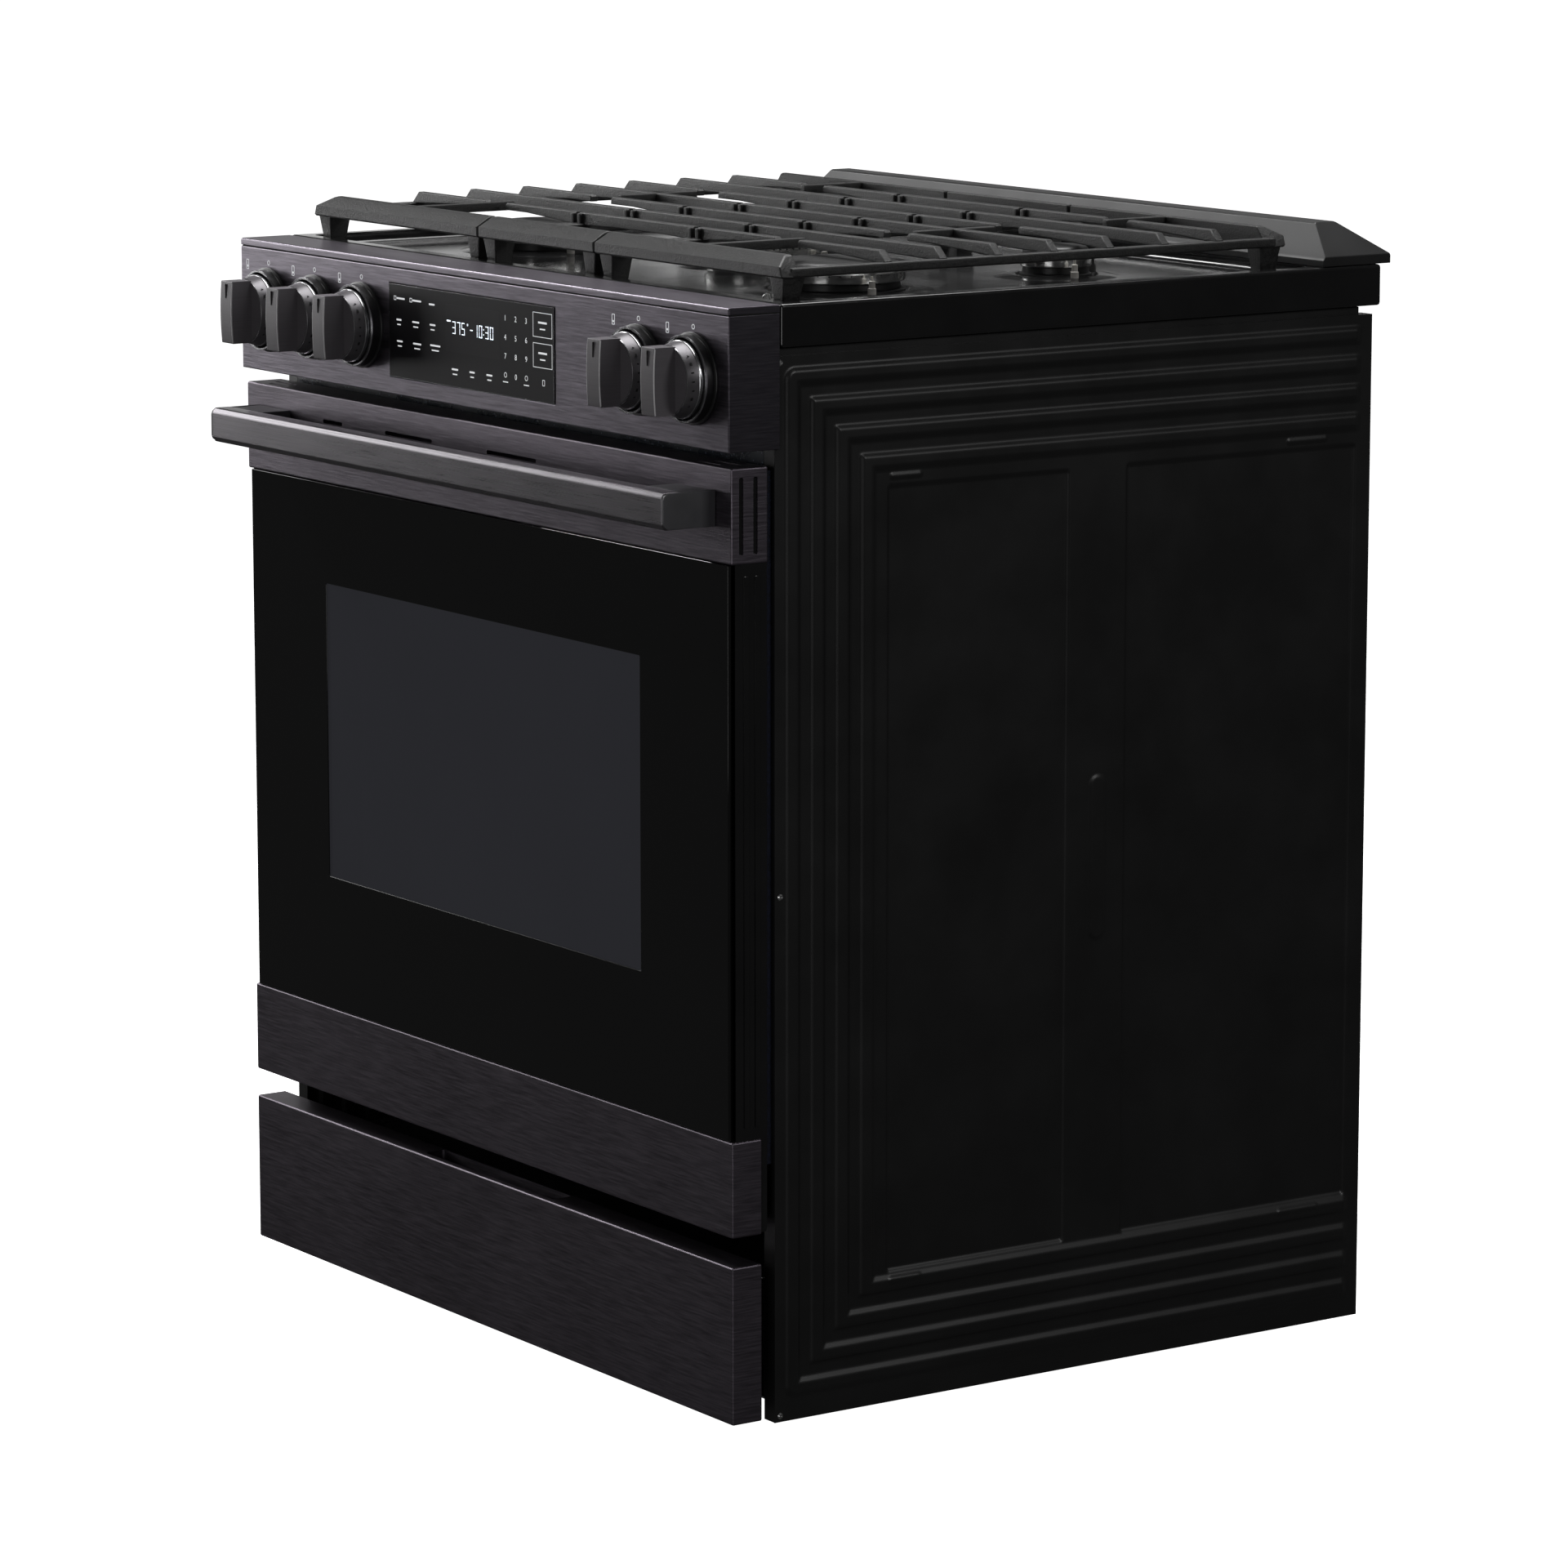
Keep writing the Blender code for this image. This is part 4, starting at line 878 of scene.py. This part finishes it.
def burners():
    for name in BURNERS:
        p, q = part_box(f"burner_{name}")
        x, y, _ = middle(f"burner_{name}")
        r, tall = (q.x - p.x) / 2, q.z - p.z
        stretch = (q.y - p.y) / 2 - r
        base = [(0, 0.0), (r, 0.0), (r, 0.0018), (r * 0.93, 0.003), (r * 0.92, tall * 0.48), (0, tall * 0.48)]
        head = [(r * 0.3, tall * 0.46), (r * 0.96, tall * 0.46), (r * 0.99, tall * 0.5), (r, tall * 0.56),
                (r, tall * 0.93), (r * 0.985, tall * 0.985), (r * 0.96, tall), (r * 0.3, tall)]
        meshes = [stretched(turned(base, (x, y, p.z), "Z", 64, index=2), y, stretch),
                  stretched(turned(head, (x, y, p.z), "Z", 96), y, stretch)]
        v0, v1 = tall * 0.82, tall * 0.91               # the row of ports round the head, near-black blocks that paint the shade in the holes
        count = max(16, int(math.tau * r / 0.009))
        for k in range(count):
            a = math.tau * (k + 0.5) / count
            port_shade = block((r * 0.97, -0.0008, v0), (r * 1.001, 0.0008, v1), 0.0003, 1, index=1)
            place = (x, y + math.copysign(stretch, math.sin(a)), p.z)
            port_shade.transform(Matrix.Translation(place) @ Matrix.Rotation(a, 4, "Z"))
            meshes.append(port_shade)
        if stretch > 0.001:                             # ports along the straight sides of the oval head, painted shade in the same way
            for side in (-1, 1):
                x0, x1 = span(side, r * 0.97, r * 1.001, x)
                for k in range(-7, 8):
                    v = y + k * 0.0065
                    meshes.append(block((x0, v - 0.0008, p.z + v0), (x1, v + 0.0008, p.z + v1), 0, index=1))
        piece(f"burner_head_{name}", meshes, [ALUMINIUM, DARK_PRINT_AND_SHADE, CAP], "cabinet", [f"burner_{name}"])

        p0, q0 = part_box(f"cap_{name}")
        r, tall = (q0.x - p0.x) / 2, q0.z - p0.z
        cap = [(0, 0.0), (r * 0.97, 0.0), (r, 0.0008), (r, tall * 0.42), (r * 0.985, tall * 0.62),
               (r * 0.95, tall * 0.8), (r * 0.89, tall * 0.93), (r * 0.8, tall), (r * 0.55, tall * 0.97),
               (0, tall * 0.96)]
        lid = stretched(turned(cap, (x, y, p0.z), "Z", 64), y, (q0.y - p0.y) / 2 - r)
        piece(f"burner_lid_{name}", [lid], [CAP], f"cap_body_{name}", [f"cap_{name}"], 40)

        place = (x + r + 0.012, y if name == "centre" else y - 0.01, p.z)
        post = turned([(0, 0.0), (0.0034, 0.0), (0.0034, 0.006), (0.0026, 0.0066), (0.0026, 0.012),
                       (0.001, 0.0126), (0.001, 0.016), (0, 0.0162)], place, "Z", 20)
        piece(f"electrode_{name}", [post], [CERAMIC], "cabinet")


def pan_clip():
    """A small bent wire on the pan floor, seen beside the front right burner."""
    x, y, z = 0.318, -0.228, low("burner_centre").z
    loop = [(x - 0.004, y, z), (x - 0.0045, y, z + 0.0085), (x - 0.002, y + 0.001, z + 0.011),
            (x + 0.002, y + 0.001, z + 0.0105), (x + 0.0045, y, z + 0.0075), (x + 0.004, y, z + 0.0015),
            (x + 0.001, y, z + 0.0005)]
    piece("pan_clip", [tube(loop, 0.0009, steps=3)], [BRIGHT], "cabinet")


BAR_YS = (-0.1394, -0.0857, -0.031, 0.025, 0.0816, 0.1374, 0.194)


def tapered_bar(ends, y, top, wide=0.0078):
    """A cast bar along X. Each end is (x, height of the bar there, slope), and a flat end is flared."""
    (x0, tall0, drop0), (x1, tall1, drop1) = ends
    middle = min(tall0, tall1, 0.0078)
    third = (x1 - x0) * 0.3
    outline = [(x0, top - max(tall0, drop0 + 0.002)), (x0 + third, top - (tall0 + middle) / 2)]
    outline += [(x1 - third, top - (tall1 + middle) / 2), (x1, top - max(tall1, drop1 + 0.002))]
    outline += [(x1, top - drop1), (x1 - drop1, top)] if drop1 else [(x1, top)]
    outline += [(x0 + drop0, top), (x0, top - drop0)] if drop0 else [(x0, top)]
    made = plate([outline], "Y", y - wide / 2, y + wide / 2, 0.001, steps=2)
    for vertex in made.vertices:                        # narrower at the top, as cast
        depth = min(1.0, (top - vertex.co.z) / 0.012)
        vertex.co.y = y + (vertex.co.y - y) * (0.86 + 0.24 * depth)
    return made


def leg(x, y, foot, top, side, back):
    """A foot that narrows downwards and leans in from the corner at x, y."""
    points = []
    for z, wide, deep, shift in ((foot, 0.011, 0.014, 0.0065), (top, 0.021, 0.022, 0.0)):
        x0, y0 = x + side * shift, y + back * shift * 0.5
        x1, y1 = x0 + side * wide, y0 + back * deep
        points += [(x0, y0, z), (x1, y0, z), (x1, y1, z), (x0, y1, z)]
    mesh = bpy.data.meshes.new("leg")
    mesh.from_pydata(points, [], [(0, 1, 2, 3), (4, 5, 6, 7), (0, 1, 5, 4), (1, 2, 6, 5), (2, 3, 7, 6),
                                  (3, 0, 4, 7)])
    with editing(mesh) as work:
        rounded(work, work.edges[:], 0.0014)
    return tag(mesh, 0)


def grates():
    for name, burner_name in (("grate_left", "left_front"), ("grate_centre", None),
                              ("grate_right", "right_front")):
        a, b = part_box(name)
        burner = middle(f"burner_{burner_name}").x if burner_name else 0.0
        top, foot = b.z, a.z
        rail, rail_top, rail_low = 0.01, top - 0.0095, top - 0.0172
        outer = {"grate_left": a.x, "grate_right": b.x}.get(name)
        meshes = []
        for x0, x1 in ((a.x, a.x + rail), (b.x - rail, b.x)):
            meshes.append(block((x0, a.y + 0.01, rail_low), (x1, b.y - 0.01, rail_top), 0.0016, 3))
        slope, back, rise = 0.0125, 0.02, 0.008
        for y_out, y_in in ((a.y, a.y + back), (b.y, b.y - back)):
            sign = math.copysign(1, y_in - y_out)
            outline = [(y_out + sign * 0.0015, rail_low), (y_in, rail_low), (y_in, top - 0.001),
                       (y_in - sign * 0.001, top), (y_out + sign * (slope + 0.003), top),
                       (y_out + sign * slope, top - 0.0006),
                       (y_out, top - rise), (y_out, rail_low + 0.0015)]
            beam = plate([outline], "X", a.x + 0.0002, b.x - 0.0002, 0.001, steps=2)
            for vertex in beam.vertices:                # the outer ends lean in as they rise
                up = max(0.0, (vertex.co.z - top + rise + 0.002) / (rise + 0.002))
                for edge in (a.x, b.x):
                    if abs(vertex.co.x - edge) < 0.003:
                        lean = 0.015 if edge == outer else 0.0012
                        vertex.co.x += math.copysign(lean * up, (a.x + b.x) / 2 - edge)
            meshes.append(beam)
        z1 = top - 0.0003
        start = (a.x + 0.0018, 0.011, 0.0085 if a.x == outer else 0.0)
        finish = (b.x - 0.0018, 0.011, 0.0085 if b.x == outer else 0.0)
        for k, y in enumerate(BAR_YS):
            if k % 2 or not burner_name:
                meshes.append(tapered_bar((start, finish), y, z1))
            else:
                meshes.append(tapered_bar((start, (burner - 0.016, 0.0062, 0.002)), y, z1))
                meshes.append(tapered_bar(((burner + 0.016, 0.0062, 0.002), finish), y, z1))
            for x in (a.x, b.x):                        # the flared flat ends beside the next grate
                if x != outer:
                    x0, x1 = span(1 if x == a.x else -1, 0.0016, 0.0075, x)
                    meshes.append(block((x0, y - 0.0062, z1 - 0.0125), (x1, y + 0.0062, z1 - 0.0006), 0.0012))
        if burner_name:
            for y0, y1 in ((a.y + 0.012, BAR_YS[0] + 0.014), (BAR_YS[3] - 0.04, BAR_YS[3] + 0.04),
                           (BAR_YS[6] - 0.014, b.y - 0.012)):
                meshes.append(block((burner - 0.0036, y0, z1 - 0.008), (burner + 0.0036, y1, z1 - 0.0002),
                                    0.0012, 2))
        for x, side in ((a.x + 0.0012, 1), (b.x - 0.0012, -1)):
            for y, toward in ((a.y + 0.003, 1), (b.y - 0.003, -1)):
                meshes.append(leg(x, y, foot, rail_low + 0.004, side, toward))
        piece(f"{name}_cast", meshes, [IRON], f"grate_body_{name[6:]}", [name], 35)


# ------------------------------------------------------------------ oven, back and feet
def oven():
    for name in ("rack_lower", "rack_upper"):
        a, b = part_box(name)
        r = 0.00255
        z = b.z - r
        x0, x1, y0, y1 = a.x + r, b.x - r, a.y + r, b.y - r
        c = 0.016
        d = c * 0.3                                     # the corners of the outer wire are rounded by c
        loop = [(x0 + c, y0), (x1 - c, y0), (x1 - d, y0 + d), (x1, y0 + c), (x1, y1 - c), (x1 - d, y1 - d),
                (x1 - c, y1), (x0 + c, y1), (x0 + d, y1 - d), (x0, y1 - c), (x0, y0 + c), (x0 + d, y0 + d)]
        wires = [tube([(u, v, z) for u, v in loop], r, cyclic=True, steps=4)]
        for k in range(17):
            x = x0 + 0.018 + (x1 - x0 - 0.036) * k / 16
            wires.append(tube([(x, y0, z), (x, y1, z)], 0.0016, steps=3))
        for y in (y0 + 0.128, y1 - 0.128):
            wires.append(tube([(x0, y, z - 0.003), (x1, y, z - 0.003)], 0.0022, steps=3))
        piece(f"{name}_wires", wires, [BRIGHT], f"{name}_body", [name], 60)


def back():
    a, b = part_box("back_panel")
    sheet = block(a, b, 0.0003, 1)
    sheet = cut(sheet, block((0.285, a.y - 0.01, 0.125), (0.335, b.y + 0.01, 0.175), 0.004, 3))     # gas inlet
    extras = []
    for row in range(2):                                # louvres near the top
        for k in range(9):
            x, z = -0.3 + k * 0.075, 0.8 - row * 0.022
            extras.append(plate([[(b.y - 0.0005, z), (b.y + 0.003, z + 0.001), (b.y + 0.003, z + 0.002),
                                  (b.y - 0.0005, z + 0.0075)]], "X", x - 0.026, x + 0.026, 0.0002, steps=1))
    for x in (-0.19, 0.19):
        extras.append(block((x - 0.085, b.y - 0.0006, 0.2), (x + 0.085, b.y + 0.0014, 0.72), 0.0012, 2))
    extras.append(block((-0.335, b.y - 0.0006, 0.11), (-0.235, b.y + 0.0125, 0.185), 0.0018, 2))
    for x in (-0.328, -0.242):
        for z in (0.118, 0.177):
            extras.append(turned([(0, 0.0022), (0.0022, 0.002), (0.0034, 0.0006), (0.0034, 0.0), (0, 0.0)],
                                 (x, b.y + 0.012, z), "Y", 18, index=1))
    for x in (-0.365, -0.12, 0.12, 0.365):
        for z in (0.055, 0.45, 0.862):
            extras.append(turned([(0, 0.0018), (0.0024, 0.0016), (0.0036, 0.0005), (0.0036, 0.0), (0, 0.0)],
                                 (x, b.y - 0.0001, z), "Y", 18, index=1))
    piece("back_sheet", [sheet, *extras], [ZINC, BRIGHT], "cabinet", ["back_panel"], 30)


def feet():
    for name in ("front_left", "front_right", "rear_left", "rear_right"):
        a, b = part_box(f"foot_{name}")
        centre = ((a.x + b.x) / 2, (a.y + b.y) / 2, 0)
        pad = turned([(0, 0.0), (0.0145, 0.0), (0.016, 0.0012), (0.016, 0.004), (0.014, 0.0062),
                      (0.0112, 0.01), (0, 0.01)], centre, "Z", 40)
        nut = turned([(0, 0.0098), (0.0088, 0.0098), (0.0094, 0.0106), (0.0094, 0.015), (0.0088, 0.0158),
                      (0, 0.0158)], centre, "Z", 6, index=1)
        thread = [(0.0, 0.015)]
        z = 0.0155
        while z < b.z - 0.0015:
            thread += [(0.005, z), (0.0044, z + 0.0006)]
            z += 0.0012
        thread += [(0.0036, b.z), (0, b.z)]
        bolt = turned(thread, centre, "Z", 20, index=1)
        piece(f"foot_{name}_pad", [pad, nut, bolt], [PLASTIC, ZINC], f"foot_body_{name}", [f"foot_{name}"],
              40)


def carried_over():
    """CAD nodes whose shape is right keep it and take a finished material."""
    looks = {"oven_gasket": FIBRE, "gas_manifold": BRASS}
    looks.update(dict.fromkeys(("front_frame", "oven_cavity", "fan_cover"), SPECKLE))
    looks.update(dict.fromkeys(("base_frame", "bake_burner", "broil_burner", "convection_fan", "fan_motor",
                                "door_hinge_left", "door_hinge_right", "drawer_slide_left",
                                "drawer_slide_right"), ZINC))
    looks.update({f"knob_stem_{i}": BRIGHT for i in range(1, 6)})
    for name, look in looks.items():
        NODES[name].data.materials.clear()
        NODES[name].data.materials.append(look)


side_panels()
control_panel()
display()
knobs()
door()
handle()
drawer()
cooktop()
burners()
pan_clip()
grates()
oven()
back()
feet()
carried_over()


# ------------------------------------------------------------------ stage, light and camera
def stage():
    mesh = bpy.data.meshes.new("floor")
    half = 60.0
    mesh.from_pydata([(u, v, 0) for u, v in rect(-half, -half, half, half)], [], [(0, 1, 2, 3)])
    floor = bpy.data.objects.new("floor", mesh)
    scene.collection.objects.link(floor)
    look, tree, shader = new_material("pale_floor")
    tint = ramp(tree, noise(tree, 0.4), (0.86, 0.86, 0.86), (0.9, 0.9, 0.9))
    tree.links.new(tint, shader.inputs["Base Color"])
    tree.links.new(tint, shader.inputs["Emission Color"])
    shader.inputs["Emission Strength"].default_value = 1.25
    shader.inputs["Roughness"].default_value = 1.0
    shader.inputs["Specular IOR Level"].default_value = 0.0
    mesh.materials.append(look)
    floor.visible_glossy = floor.visible_diffuse = False


def area(name, place, target, size, power):
    light = bpy.data.lights.new(name, "AREA")
    light.shape, light.size, light.size_y, light.energy = "RECTANGLE", size[0], size[1], power
    obj = bpy.data.objects.new(name, light)
    obj.location = place
    obj.rotation_euler = (Vector(target) - Vector(place)).to_track_quat("-Z", "Y").to_euler()
    scene.collection.objects.link(obj)


def studio():
    world = bpy.data.worlds.new("studio")
    scene.world = world
    world.use_nodes = True
    tree = world.node_tree
    tree.nodes.clear()
    ray = add(tree, "ShaderNodeLightPath")
    dim = add(tree, "ShaderNodeBackground", {"Color": (1, 1, 1, 1), "Strength": 0.05})
    white = add(tree, "ShaderNodeBackground", {"Color": (1, 1, 1, 1), "Strength": 1.0})
    mixed = add(tree, "ShaderNodeMixShader", {0: ray.outputs["Is Camera Ray"], 1: dim.outputs[0],
                                              2: white.outputs[0]})
    add(tree, "ShaderNodeOutputWorld", {"Surface": mixed.outputs[0]})
    area("key", (-4.3, -1.38, 1.5), (0.0, -0.3, 0.6), (2.0, 2.2), 64)
    area("edge", (-2.6, -0.85, 2.7), (0, -0.3, 0.9), (0.7, 0.5), 30)
    area("top", (-0.3, 0.5, 3.2), (0, 0, 0.9), (2.0, 1.6), 80)
    area("rear", (-3.4, 2.5, 1.15), (0, 0, 0.9), (3.4, 0.9), 7)
    area("side", (3.6, 1.2, 2.4), (0.3, 0.0, 0.5), (1.2, 1.0), 26)
    area("front", (2.2, -3.4, 0.9), (0.3, -0.3, 0.7), (1.6, 2.0), 24)


def camera():
    data = bpy.data.cameras.new("camera")
    data.lens, data.sensor_width = 143.342, 36.0
    data.clip_start, data.clip_end = 0.05, 200.0
    obj = bpy.data.objects.new("camera", data)
    obj.location = (4.3742, -2.9978, 1.3886)
    obj.rotation_euler = (math.radians(90 - 9.9748), 0, math.radians(55.5104))
    scene.collection.objects.link(obj)
    scene.camera = obj


stage()
studio()
camera()
scene.view_settings.view_transform = "Standard"
